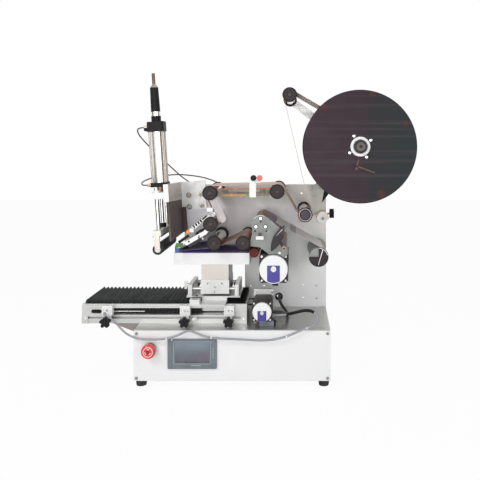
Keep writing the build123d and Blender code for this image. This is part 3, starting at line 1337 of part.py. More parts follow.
def label_sensor():
    """The label sensor: a clip that slides on the tie bar, a post and two round caps."""
    left = ROLLERS["upper_left_roller"]
    right = ROLLERS["upper_right_roller"]
    share = (LABEL_SENSOR_X - left[0]) / (right[0] - left[0])
    z = between(left, right, share)[1]
    half = TIE_BAR_HALF_HEIGHT + CLEAR
    wall = LABEL_SENSOR_WALL
    xs = (LABEL_SENSOR_X - LABEL_SENSOR_WIDTH / 2, LABEL_SENSOR_X + LABEL_SENSOR_WIDTH / 2)
    front = LINK_FRONT - CLEAR
    back = LINK_BACK + CLEAR
    rise = LABEL_SENSOR_WIDTH * (right[1] - left[1]) / (right[0] - left[0])
    clip = block(xs, (front - wall, front), (z - half - wall, LABEL_SENSOR_TOP))
    clip += block(xs, (front, back), (z - half - wall, z - half - rise))
    clip += block(xs, (front, back), (z + half + rise, z + half + wall))
    head = block(
        (xs[0], LABEL_SENSOR_CAPS_X[1]),
        (front - wall, back),
        (LABEL_SENSOR_TOP - LABEL_SENSOR_HEAD, LABEL_SENSOR_TOP),
    )
    cap_ys = (front - wall - LABEL_SENSOR_CAP, front - wall)
    cap_z = LABEL_SENSOR_TOP + LABEL_SENSOR_CAP_RISE
    caps = [round_y(x, cap_z, LABEL_SENSOR_CAP_RADIUS, cap_ys) for x in LABEL_SENSOR_CAPS_X]
    return group(clip + head, *caps)


def peel_side(ys):
    """One side plate of the peel table, hung on the peel feed roller's shaft."""
    lug = ROLLERS["peel_feed_roller"]
    outline = link(PEEL_BAR_START, PEEL_BAR_END, PEEL_BAR_HALF_WIDTH)
    outline += link(PEEL_BAR_END, lug, PEEL_BAR_HALF_WIDTH) + disc(lug, PEEL_LUG_RADIUS)
    outline -= disc(lug, ROLLER_SHAFT_RADIUS)
    for hole in PEEL_BAR_HOLES:
        outline -= disc(hole, PEEL_BAR_HOLE_RADIUS)
    return slab(outline, ys)


def peel_table():
    """The peel blade between its two side plates, with a carrier bar under it."""
    front_ys = (LINK_FRONT, LINK_BACK)
    rear_ys = (REAR_LINK_FRONT, REAR_LINK_FRONT + REAR_LINK)
    wheels = web_wheels()
    tip = [centre for centre, radius, side in wheels].index(PEEL_TIP)
    direction, normal = tangent_run(wheels[tip - 1], wheels[tip])
    blade_end = tuple(place - part * PEEL_BLADE_LENGTH for place, part in zip(PEEL_TIP, direction))
    blade = slab(link(PEEL_TIP, blade_end, PEEL_TIP_RADIUS), (LINK_BACK, REAR_LINK_FRONT))
    drop = PEEL_TIP_RADIUS + PEEL_CARRIER_RADIUS
    carrier_ends = []
    for share in PEEL_CARRIER_SHARES:
        x, z = between(PEEL_TIP, blade_end, share)
        carrier_ends.append((x + normal[0] * drop, z + normal[1] * drop))
    carrier = slab(link(*carrier_ends, PEEL_CARRIER_RADIUS), (LINK_BACK, REAR_LINK_FRONT))
    sides = [peel_side(front_ys), peel_side(rear_ys)]
    return group(blade, carrier, *sides)


def peel_comb():
    """The toothed bar above the peel table, with its end block and knob."""
    front = LINK_FRONT
    bar = link(COMB_START, COMB_END, COMB_HALF_WIDTH) + disc(COMB_END, COMB_EYE_RADIUS)
    angle = degrees(atan2(COMB_END[1] - COMB_START[1], COMB_END[0] - COMB_START[0]))
    for tooth in range(COMB_TEETH):
        share = (tooth + 1) / (2 * COMB_TEETH)
        root = between(COMB_START, COMB_END, share)
        rise = COMB_HALF_WIDTH + COMB_TOOTH_HEIGHT / 2
        shape = Rectangle(COMB_TOOTH / 2, COMB_TOOTH_HEIGHT + COMB_HALF_WIDTH)
        bar += Pos(*root) * Rot(0, 0, angle) * Pos(0, rise) * shape
    comb = slab(bar, (front, SECOND_LINK_FRONT))
    block_outline = Pos(*COMB_START) * Rot(0, 0, angle) * Rectangle(COMB_BLOCK, COMB_BLOCK)
    comb += slab(block_outline, (front - LINK_THICKNESS, front))
    knob_outline = Pos(*COMB_START) * Rot(0, 0, angle) * Pos(-COMB_BLOCK, 0) * Circle(COMB_KNOB_RADIUS)
    knob = slab(knob_outline, (front - LINK_THICKNESS, front))
    return comb + knob


def traction_screw_places():
    """Centres of the screws round the drive roller's axis, the first one straight above it."""
    places = []
    reach = TRACTION_SCREW_CIRCLE
    for index in range(TRACTION_SCREWS):
        angle = pi / 2 + 2 * pi * index / TRACTION_SCREWS
        places.append((DRIVE_X + reach * cos(angle), DRIVE_Z + reach * sin(angle)))
    return places


def traction_plate():
    """The traction unit's front plate with the lever's pin and the nip adjuster."""
    outline = polygon(
        (DRIVE_X - DRIVE_NOSE_RADIUS, DRIVE_Z),
        TRACTION_SHOULDER_LEFT,
        TRACTION_TOE,
        TRACTION_HEEL,
        TRACTION_SCALLOP_LEFT,
        TRACTION_SCALLOP_RIGHT,
        TRACTION_LOW_RIGHT,
        TRACTION_HIGH_RIGHT,
        TRACTION_NECK_RIGHT,
    )
    outline += disc((DRIVE_X, DRIVE_Z), DRIVE_NOSE_RADIUS)
    outline -= disc((MOTOR_X, MOTOR_Z), MOTOR_CAP_RADIUS + SCALLOP_GAP)
    back = TRACTION_FRONT + TRACTION_PLATE
    plate = slab(outline, (TRACTION_FRONT, back))
    bore_ys = (TRACTION_FRONT + TRACTION_PLATE / 3, back + OVERRUN)
    plate -= round_y(DRIVE_X, DRIVE_Z, DRIVE_SHAFT_RADIUS + RUNNING_FIT, bore_ys)
    for hole in traction_screw_places():
        plate -= slab(disc(hole, SMALL_SHANK_RADIUS), (TRACTION_FRONT - OVERRUN, back + OVERRUN))
    plate += round_y(*LEVER_PIVOT, LEVER_PIN_RADIUS, (LEVER_FRONT, TRACTION_FRONT))
    adjuster = block(
        (ADJUSTER_X - ADJUSTER_WIDTH / 2, ADJUSTER_X + ADJUSTER_WIDTH / 2),
        (TRACTION_FRONT - ADJUSTER_DEPTH, TRACTION_FRONT),
        (ADJUSTER_Z - ADJUSTER_HEIGHT, ADJUSTER_Z),
    )
    screw_radius = ADJUSTER_HEIGHT / 2
    screw_ys = (TRACTION_FRONT - ADJUSTER_DEPTH, TRACTION_FRONT)
    screw = round_y(ADJUSTER_X, ADJUSTER_Z + screw_radius, screw_radius, screw_ys)
    return group(plate, adjuster, screw)


def drive_roller():
    """The drive roller with its shaft and toothed pulley."""
    roller = round_y(DRIVE_X, DRIVE_Z, DRIVE_RADIUS, (DRIVE_FRONT, DRIVE_BACK))
    shaft_front = TRACTION_FRONT + TRACTION_PLATE / 3 + CLEAR
    roller += round_y(DRIVE_X, DRIVE_Z, DRIVE_SHAFT_RADIUS, (shaft_front, PLATE_REAR_Y))
    pulley_ys = (DRIVE_PULLEY_FRONT, DRIVE_PULLEY_FRONT + DRIVE_PULLEY_WIDTH)
    return roller + flanged_pulley(DRIVE_X, DRIVE_Z, DRIVE_PULLEY_RADIUS - CLEAR, pulley_ys)


def pinch_lever():
    """The leaf-shaped release lever with its link, on a pin in the front plate."""
    ys = (LEVER_FRONT, LEVER_FRONT + LEVER_THICKNESS)
    middle = between(LEVER_TOP, LEVER_BOTTOM, 1 / 2)
    half_length = hypot(LEVER_TOP[0] - LEVER_BOTTOM[0], LEVER_TOP[1] - LEVER_BOTTOM[1]) / 2
    angle = degrees(atan2(LEVER_TOP[1] - LEVER_BOTTOM[1], LEVER_TOP[0] - LEVER_BOTTOM[0]))
    curve_radius = (half_length ** 2 + LEVER_LEAF_HALF_WIDTH ** 2) / (2 * LEVER_LEAF_HALF_WIDTH)
    offset = curve_radius - LEVER_LEAF_HALF_WIDTH
    leaf = Pos(0, offset) * Circle(curve_radius) & Pos(0, -offset) * Circle(curve_radius)
    leaf = Pos(*middle) * Rot(0, 0, angle) * leaf
    arm = link(LEVER_LINK_TOP, LEVER_PIVOT, LEVER_LINK_HALF_WIDTH) + disc(LEVER_PIVOT, LEVER_HUB_RADIUS)
    arm += link(LEVER_PIVOT, middle, LEVER_LINK_HALF_WIDTH)
    lever = slab(leaf, ys) + slab(arm, (LEVER_FRONT + LEVER_THICKNESS / 3, LEVER_FRONT + LEVER_THICKNESS))
    hub_ys = (LEVER_FRONT + LEVER_THICKNESS, TRACTION_FRONT - CLEAR)
    lever += slab(disc(LEVER_PIVOT, LEVER_HUB_RADIUS), hub_ys)
    bore_ys = (LEVER_FRONT - OVERRUN, TRACTION_FRONT)
    return lever - round_y(*LEVER_PIVOT, LEVER_PIN_RADIUS + RUNNING_FIT, bore_ys)


def traction_motor():
    """The traction motor with its round cap, rear plate and standoffs."""
    body = motor_body(MOTOR_X, MOTOR_Z, MOTOR_SIZE, (MOTOR_FRONT, MOTOR_BACK))
    cap = round_y(MOTOR_X, MOTOR_Z, MOTOR_CAP_RADIUS, (MOTOR_FRONT - MOTOR_CAP, MOTOR_FRONT))
    cap = fillet(cap.faces().sort_by(Axis.Y)[0].edges(), MOTOR_CAP_EDGE)
    plate = motor_body(MOTOR_X, MOTOR_Z, MOTOR_SIZE, (MOTOR_BACK, MOTOR_BACK + MOTOR_PLATE))
    bore = round_y(
        MOTOR_X, MOTOR_Z, MOTOR_SHAFT_RADIUS + RUNNING_FIT,
        (MOTOR_BACK - MOTOR_PLATE * 2, MOTOR_BACK + MOTOR_PLATE + OVERRUN),
    )
    standoffs = [
        round_y(MOTOR_X + x, MOTOR_Z + z, STANDOFF_RADIUS, (MOTOR_BACK + MOTOR_PLATE, PLATE_FACE_Y))
        for x in (-STANDOFF_OFFSET, STANDOFF_OFFSET)
        for z in (-STANDOFF_OFFSET, STANDOFF_OFFSET)
    ]
    return group(body - bore, cap, plate - bore, *standoffs)


def feed_pulley():
    """The traction motor's shaft with its pulley."""
    pulley_ys = (DRIVE_PULLEY_FRONT, DRIVE_PULLEY_FRONT + DRIVE_PULLEY_WIDTH)
    pulley = flanged_pulley(MOTOR_X, MOTOR_Z, MOTOR_PULLEY_RADIUS - CLEAR, pulley_ys)
    return pulley + round_y(MOTOR_X, MOTOR_Z, MOTOR_SHAFT_RADIUS, (MOTOR_BACK - MOTOR_PLATE, pulley_ys[1]))


def label_reel():
    """The reel: two discs, the drum between them, the front hub and its knob."""
    centre = (REEL_X, REEL_Z)
    front_disc = round_y(*centre, REEL_DISC_RADIUS, (REEL_FRONT, REEL_FRONT + REEL_DISC))
    rear_disc = round_y(*centre, REEL_DISC_RADIUS, (REEL_REAR - REEL_DISC, REEL_REAR))
    drum_ys = (REEL_FRONT + REEL_DISC, REEL_REAR - REEL_DISC)
    bore = round_y(*centre, SPINDLE_RADIUS + RUNNING_FIT, (drum_ys[0] + ROLLER_HUB / 2, REEL_REAR + OVERRUN))
    rear_disc -= bore
    drum = round_y(*centre, REEL_DRUM_RADIUS, drum_ys)
    cavity = (drum_ys[0] + ROLLER_HUB, drum_ys[1] - ROLLER_HUB)
    drum -= round_y(*centre, REEL_DRUM_RADIUS - REEL_DRUM_WALL, cavity)
    drum -= bore
    hub = round_y(*centre, REEL_HUB_RADIUS, (REEL_FRONT - REEL_HUB, REEL_FRONT))
    hub = chamfer(hub.faces().sort_by(Axis.Y)[0].edges(), REEL_HUB / 4)
    knob = round_y(*centre, REEL_KNOB_RADIUS, (REEL_FRONT - REEL_HUB - REEL_KNOB, REEL_FRONT - REEL_HUB))
    return group(front_disc, rear_disc, drum, hub, knob)


def label_roll():
    """The nearly used-up roll of labels on the drum."""
    ys = (WEB_FRONT, WEB_BACK)
    roll = round_y(REEL_X, REEL_Z, LABEL_ROLL_RADIUS, ys)
    return roll - round_y(REEL_X, REEL_Z, LABEL_CORE_RADIUS, (WEB_FRONT - OVERRUN, WEB_BACK + OVERRUN))


def reel_arm():
    """The arm that carries the reel's spindle, bolted to the back plate."""
    top = (REEL_X, REEL_Z)
    rear = REEL_ARM_FRONT + PLATE_THICKNESS
    outline = tapered_link(REEL_ARM_LOW, REEL_ARM_LOW_RADIUS, top, REEL_ARM_TOP_RADIUS)
    arm = slab(outline, (REEL_ARM_FRONT, PLATE_FACE_Y))
    spindle_front = REEL_FRONT + REEL_DISC + ROLLER_HUB / 2 + CLEAR
    arm += round_y(*top, SPINDLE_RADIUS, (spindle_front, rear))
    collar_front = DANCER_ARM_FRONT + DANCER_ARM + CLEAR
    arm += round_y(*top, REEL_BOSS_RADIUS, (collar_front, REEL_ARM_FRONT))
    for share in REEL_ARM_BOLTS_SHARES:
        x, z = between(REEL_ARM_LOW, top, share)
        arm += round_y(x, z, BOLT_HEAD_RADIUS, (REEL_ARM_FRONT - BOLT_HEAD, REEL_ARM_FRONT))
    return group(arm, *brake_strip())


def brake_strip():
    """A copper strip laid over a boss on the back plate, with its clamp knob at the right."""
    boss = round_y(*STRIP_BOSS, STRIP_BOSS_RADIUS, (STRIP_BOSS_FRONT, PLATE_FACE_Y))
    boss += round_y(*STRIP_BOSS, STRIP_SCREW_RADIUS, (STRIP_BOSS_FRONT - STRIP_SCREW, STRIP_BOSS_FRONT))
    middle = STRIP_BOSS_FRONT + STRIP_WIDTH / 2
    knob_z = STRIP_BOSS[1] + STRIP_KNOB_RISE
    stem_xs = (STRIP_BOSS[0] + STRIP_STEM_SEAT, STRIP_KNOB_LEFT)
    boss += round_x(middle, knob_z, KNOB_STEM_RADIUS, stem_xs)
    knob = Pos(STRIP_KNOB_LEFT, middle, knob_z) * extrude(Plane.YZ * star_outline(), amount=KNOB_THICKNESS)
    start, end = STRIP_ENDS
    wheels = [(start, 0, 1), (STRIP_BOSS, STRIP_BOSS_RADIUS + STRIP_THICKNESS / 2, -1), (end, 0, 1)]
    copper = strip(wheels, STRIP_THICKNESS, (STRIP_BOSS_FRONT, STRIP_BOSS_FRONT + STRIP_WIDTH))
    return boss + knob, copper - round_x(middle, knob_z, KNOB_STEM_RADIUS, stem_xs)


def dancer_arm():
    """The dancer arm on the reel's spindle, with the dancer roller's shaft."""
    pivot = (REEL_X, REEL_Z)
    tip = (DANCER_X, DANCER_Z)
    ys = (DANCER_ARM_FRONT, DANCER_ARM_FRONT + DANCER_ARM)
    arm = slab(tapered_link(pivot, DANCER_BOSS_RADIUS, tip, DANCER_TIP_RADIUS), ys)
    arm -= round_y(*pivot, SPINDLE_RADIUS + RUNNING_FIT, (ys[0] - OVERRUN, ys[1] + OVERRUN))
    arm += round_y(*tip, ROLLER_SHAFT_RADIUS, (ROLLER_FRONT + SHAFT_END, ys[1]))
    return arm


def dancer_roller():
    """The roller at the dancer arm's tip."""
    ys = (ROLLER_FRONT, ROLLER_BACK)
    roller = round_y(DANCER_X, DANCER_Z, ROLLER_RADIUS, ys)
    for front in (ROLLER_FRONT, ROLLER_BACK - ROLLER_FLANGE):
        roller += round_y(DANCER_X, DANCER_Z, ROLLER_FLANGE_RADIUS, (front, front + ROLLER_FLANGE))
    bore = (ROLLER_FRONT + SHAFT_END - CLEAR, ROLLER_BACK + OVERRUN)
    roller -= round_y(DANCER_X, DANCER_Z, ROLLER_SHAFT_RADIUS + RUNNING_FIT, bore)
    hollow = (ROLLER_FRONT + ROLLER_HUB, ROLLER_BACK - ROLLER_HUB)
    return roller - round_y(DANCER_X, DANCER_Z, ROLLER_RADIUS - ROLLER_WALL, hollow)


def rewind_spool():
    """The rewind spool: core, quarter-cut front cap, rear flange and shaft."""
    centre = (REWIND_X, REWIND_Z)
    cap_back = REWIND_CAP_FRONT + REWIND_CAP
    quarter = Pos(REWIND_X - REWIND_CAP_RADIUS / 2, REWIND_Z + REWIND_CAP_RADIUS / 2) * Rectangle(
        REWIND_CAP_RADIUS, REWIND_CAP_RADIUS
    )
    cap = slab(disc(centre, REWIND_CAP_RADIUS) - quarter, (REWIND_CAP_FRONT, cap_back))
    core = round_y(*centre, REWIND_CORE_RADIUS, (cap_back, REWIND_BACK))
    hollow_ys = (cap_back + ROLLER_HUB, REWIND_BACK - ROLLER_HUB)
    core -= round_y(*centre, REWIND_CORE_RADIUS - REWIND_WALL, hollow_ys)
    flange = round_y(*centre, REWIND_FLANGE_RADIUS, (REWIND_BACK, REWIND_BACK + REWIND_FLANGE))
    shaft = round_y(*centre, REWIND_SHAFT_RADIUS, (REWIND_BACK, PLATE_REAR_Y))
    shaft += round_y(*centre, SHAFT_COLLAR_RADIUS, (REWIND_BACK, PLATE_FACE_Y - CLEAR))
    return group(cap, core + flange + shaft)


def web_wheels():
    """The wheels that the web runs round, in order: centre, path radius and side of the path."""
    lift = WEB_LIFT + WEB_THICKNESS / 2
    left = 1
    right = -1
    radius = ROLLER_RADIUS + lift
    upper_left = ROLLERS["upper_left_roller"]
    return [
        ((REEL_X, REEL_Z), LABEL_ROLL_RADIUS + lift, left),
        ((DANCER_X, DANCER_Z), radius, left),
        (ROLLERS["reel_side_roller"], radius, right),
        (ROLLERS["upper_right_roller"], radius, left),
        (upper_left, radius, left),
        (ROLLERS["peel_feed_roller"], radius, right),
        (PEEL_TIP, PEEL_TIP_RADIUS + lift, left),
        (ROLLERS["lower_left_roller"], radius, left),
        (ROLLERS["lower_right_roller"], radius, right),
        ((NIP_ROLLER_X, NIP_ROLLER_Z), NIP_ROLLER_RADIUS + lift, left),
        ((DRIVE_X, DRIVE_Z), DRIVE_RADIUS + lift, right),
        ((REWIND_X, REWIND_Z), REWIND_CORE_RADIUS + lift, right),
    ]


def tangent_run(first, second):
    """The straight run between two wheels, as its direction and left-hand normal."""
    (centre_a, radius_a, side_a), (centre_b, radius_b, side_b) = first, second
    span = hypot(centre_b[0] - centre_a[0], centre_b[1] - centre_a[1])
    heading = atan2(centre_b[1] - centre_a[1], centre_b[0] - centre_a[0])
    turn = asin((side_b * radius_b - side_a * radius_a) / span)
    angle = heading - turn
    return (cos(angle), sin(angle)), (-sin(angle), cos(angle))


def web_edge(wheels, offset):
    """One long edge of the web's outline, as lines and arcs, at an offset to its left."""
    runs = [tangent_run(a, b) for a, b in zip(wheels, wheels[1:])]
    pieces = []
    previous = None
    for index, (direction, normal) in enumerate(runs):
        ends = []
        for centre, radius, side in (wheels[index], wheels[index + 1]):
            reach = offset - side * radius
            ends.append((centre[0] + normal[0] * reach, centre[1] + normal[1] * reach))
        if previous is not None:
            centre, radius, side = wheels[index]
            pieces.append(arc_round(centre, previous, ends[0], side))
        pieces.append(Line(ends[0], ends[1]))
        previous = ends[1]
    return pieces


def arc_round(centre, start, end, side):
    """The arc about a centre from start to end, anticlockwise where the side is the left."""
    radius = hypot(start[0] - centre[0], start[1] - centre[1])
    first = atan2(start[1] - centre[1], start[0] - centre[0])
    last = atan2(end[1] - centre[1], end[0] - centre[0])
    sweep = (last - first) * side % (2 * pi) * side
    middle = first + sweep / 2
    through = (centre[0] + radius * cos(middle), centre[1] + radius * sin(middle))
    return ThreePointArc(start, through, end)


def strip(wheels, thickness, ys):
    """A thin strip that runs round a list of wheels."""
    outer = web_edge(wheels, -thickness / 2)
    inner = web_edge(wheels, thickness / 2)
    curves = outer + inner + [Line(outer[0] @ 0, inner[0] @ 0), Line(outer[-1] @ 1, inner[-1] @ 1)]
    return slab(make_face([edge for curve in curves for edge in curve.edges()]), ys)


def label_web():
    """The web of backing paper from the label roll to the rewind spool."""
    return strip(web_wheels(), WEB_THICKNESS, (WEB_FRONT, WEB_BACK))


def machine_screws():
    """Bolts of the press bracket, screws of the front panel and of the traction plate."""
    screws = []
    for x in PRESS_BOLTS_X:
        for z in PRESS_BOLTS_Z:
            face = PLATE_FACE_Y - BOLT_PLATE_THICKNESS
            bolt = round_y(x, z, BOLT_HEAD_RADIUS, (face - BOLT_HEAD, face))
            bolt += round_y(x, z, BOLT_SHANK_RADIUS, (face, PLATE_FACE_Y))
            screws.append(lean(bolt))
    for x, z in panel_screw_places():
        screws.append(small_screw(x, z, BASE_FRONT))
    for x, z in traction_screw_places():
        screws.append(round_y(x, z, SMALL_HEAD_RADIUS, (TRACTION_FRONT - SMALL_HEAD, TRACTION_FRONT)))
    for left, right in CLAMP_PLATE_X:
        face = TABLE_FRONT - CLAMP_PLATE
        screws.append(
            round_y((left + right) / 2, DECK_Z + EXTRUSION / 2, SMALL_HEAD_RADIUS, (face - SMALL_HEAD, face))
        )
    return group(*screws)


def small_screw(x, z, face):
    """A pan-head screw seated on a face that looks to the front."""
    head = round_y(x, z, SMALL_HEAD_RADIUS, (face - SMALL_HEAD, face))
    return head + round_y(x, z, SMALL_SHANK_RADIUS, (face, face + SMALL_SHANK))


def cord(points, radius):
    """A round cord along straight runs joined by tangent arcs."""
    places = [Vector(*point) for point in points]
    radii = []
    for before, here, after in zip(places, places[1:], places[2:]):
        turn = radians((here - before).get_angle(after - here))
        shorter = min((here - before).length, (after - here).length)
        radii.append(BEND_SHARE * shorter / tan(turn / 2))
    path = FilletPolyline(*places, radius=radii)
    section = Plane(origin=path @ 0, z_dir=path % 0) * Circle(radius)
    tube = sweep(section, path=path)
    print("cord length", round(path.length, 1), "radii", [round(value) for value in radii])
    return tube


def air_hoses():
    """The two air hoses of the press cylinder."""
    return group(cord(UPPER_HOSE_POINTS, HOSE_RADIUS), cord(LOWER_HOSE_POINTS, HOSE_RADIUS))


def all_pieces():
    """Every named piece of the machine."""
    pieces = {
        "base_cabinet": base_cabinet(),
        "front_panel": front_panel(),
        "top_plate": top_plate(),
        "rubber_feet": rubber_feet(),
        "hmi_panel": hmi_panel(),
        "estop_collar": estop_collar(),
        "estop_button": estop_button(),
        "back_plate": back_plate(),
        "slide_extrusions": slide_extrusions(),
        "slide_frame": slide_frame(),
        "bellows_left": bellows(TABLE_LEFT + CROSS_PLATE, CARRIAGE_LEFT - CLEAR),
        "bellows_right": bellows(CARRIAGE_RIGHT + CLEAR, TABLE_RIGHT - CROSS_PLATE),
        "table_motor": table_motor(),
        "table_pulley": table_pulley(),
        "drive_belts": drive_belts(),
        "carriage": carriage(),
        "jig_slider": jig_slider(),
        "platform_tray": platform_tray(),
        "platform_pad": platform_pad(),
        "wing_screw": wing_screw(),
        "press_cylinder": press_cylinder(),
        "press_rod": press_rod(),
        "guide_block": guide_block(),
        "press_yoke": group(press_yoke(), press_collar()),
        "press_roller": press_roller(),
        "press_bracket": press_bracket(),
        "nip_roller": nip_roller(),
        "plate_shafts": plate_shafts(),
        "front_links": front_links(),
        "label_sensor": label_sensor(),
        "peel_table": peel_table(),
        "peel_comb": peel_comb(),
        "traction_plate": traction_plate(),
        "drive_roller": drive_roller(),
        "pinch_lever": pinch_lever(),
        "traction_motor": traction_motor(),
        "feed_pulley": feed_pulley(),
        "label_reel": label_reel(),
        "label_roll": label_roll(),
        "reel_arm": reel_arm(),
        "dancer_arm": dancer_arm(),
        "dancer_roller": dancer_roller(),
        "rewind_spool": rewind_spool(),
        "label_web": label_web(),
        "machine_screws": machine_screws(),
        "sensor_cable": cord(SENSOR_CABLE_POINTS, SENSOR_CABLE_RADIUS),
        "motor_cable": cord(MOTOR_CABLE_POINTS, MOTOR_CABLE_RADIUS),
        "air_hoses": air_hoses(),
    }
    for side in SENSOR_CENTRES_X:
        pieces["sensor_block_" + side] = sensor_block(side)
        pieces["star_knob_" + side] = star_knob(side)
    for name in ROLLERS:
        pieces[name] = guide_roller(name)
    return pieces


os.makedirs("parts", exist_ok=True)
for piece_name, piece in all_pieces().items():
    export_step(piece, f"parts/{piece_name}.step")
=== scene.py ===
import json
import math

import bmesh
import bpy
from mathutils import Matrix, Vector

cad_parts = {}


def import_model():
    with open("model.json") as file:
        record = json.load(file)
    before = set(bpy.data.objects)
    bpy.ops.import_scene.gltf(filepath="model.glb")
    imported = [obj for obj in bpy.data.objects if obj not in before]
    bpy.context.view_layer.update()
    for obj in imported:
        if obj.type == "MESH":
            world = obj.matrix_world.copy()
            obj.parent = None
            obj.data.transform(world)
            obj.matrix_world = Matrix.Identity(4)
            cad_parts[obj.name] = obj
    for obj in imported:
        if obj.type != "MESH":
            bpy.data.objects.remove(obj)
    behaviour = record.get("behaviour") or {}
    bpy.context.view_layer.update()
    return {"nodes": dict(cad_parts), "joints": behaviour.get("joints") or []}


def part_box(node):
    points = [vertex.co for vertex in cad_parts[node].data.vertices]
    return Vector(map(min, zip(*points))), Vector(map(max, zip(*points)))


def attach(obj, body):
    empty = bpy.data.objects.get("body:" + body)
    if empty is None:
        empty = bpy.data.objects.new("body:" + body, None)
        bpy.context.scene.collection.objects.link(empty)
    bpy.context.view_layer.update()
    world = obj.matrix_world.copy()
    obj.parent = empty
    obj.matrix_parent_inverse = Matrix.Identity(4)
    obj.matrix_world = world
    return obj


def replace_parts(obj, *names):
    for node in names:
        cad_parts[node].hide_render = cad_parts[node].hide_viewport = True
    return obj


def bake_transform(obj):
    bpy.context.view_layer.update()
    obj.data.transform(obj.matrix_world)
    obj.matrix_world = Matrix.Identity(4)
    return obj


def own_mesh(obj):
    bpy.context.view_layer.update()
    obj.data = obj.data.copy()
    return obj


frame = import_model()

# Camera, as a level view with the lens shifted to the photograph's framing
CAMERA_PLACE = (0.1764, -1.888, 0.680)
LENS = 45.0
SENSOR = 36.0
PICTURE = 480
SHIFT_X = -54 / PICTURE
SHIFT_Y = -92 / PICTURE
FOCAL_PIXELS = 600.0
CENTRE_PIXEL = (294.0, 148.0)

# Shared sizes in metres
SEAT = 0.0002
SEGMENTS = 64
EDGE = 0.0005
FINE_EDGE = 0.0002
CAP_FACE_Y = -0.150
DISC_FACE_Y = -0.150
LINK_FACE_Y = -0.142
TRACTION_FACE_Y = -0.141
FLANGE = 0.007
FOLD_EDGE = 0.0004

JOINTS = {joint["name"]: joint for joint in frame["joints"]}
NODES = frame["nodes"]
LEAN = math.atan2(-JOINTS["press_stroke"]["axis"][0], JOINTS["press_stroke"]["axis"][2])
FIXED_CAPS = ("upper_left_roller", "upper_right_roller", "peel_feed_roller")
TURNING_CAPS = ("lower_left_roller", "lower_right_roller", "dancer_roller")


def axis_place(joint):
    """The X and Z of a joint's axis."""
    place = JOINTS[joint]["pos_m"]
    return place[0], place[2]


def seen(pixel, y):
    """The X and Z, at a depth, of what the photograph shows at a pixel."""
    reach = (y - CAMERA_PLACE[1]) / FOCAL_PIXELS
    x = CAMERA_PLACE[0] + (pixel[0] - CENTRE_PIXEL[0]) * reach
    return x, CAMERA_PLACE[2] - (pixel[1] - CENTRE_PIXEL[1]) * reach


def seen_box(pixels, y):
    """The limits in X and in Z, at a depth, between two pixels."""
    return zip(*(seen(pixel, y) for pixel in pixels))


PRESS_PIVOT = Vector((axis_place("press_roller_spin")[0], 0, axis_place("press_roller_spin")[1]))
TO_PIVOT = Matrix.Translation(PRESS_PIVOT)
PRESS_LEAN = TO_PIVOT @ Matrix.Rotation(-LEAN, 4, "Y") @ TO_PIVOT.inverted()
UPRIGHT = PRESS_LEAN.inverted()


# Materials

BEVEL_SAMPLES = 4
DISC_SPOTS = (((372.6, 93.5), 0.012), ((405.7, 123.6), 0.010), ((381.2, 194), 0.015), ((324, 107.2), 0.012))


def add_node(tree, kind, inputs=(), **settings):
    """Adds a shader node; an input takes a value or another node's output."""
    made = tree.nodes.new("ShaderNode" + kind)
    for name, value in settings.items():
        setattr(made, name, value)
    for name, value in dict(inputs).items():
        if isinstance(value, bpy.types.NodeSocket):
            tree.links.new(value, made.inputs[name])
        else:
            made.inputs[name].default_value = value
    return made


def scaled(color, factor, lift=0.0):
    """A colour made lighter or darker."""
    return tuple(min(c * factor + lift, 1.0) for c in color)


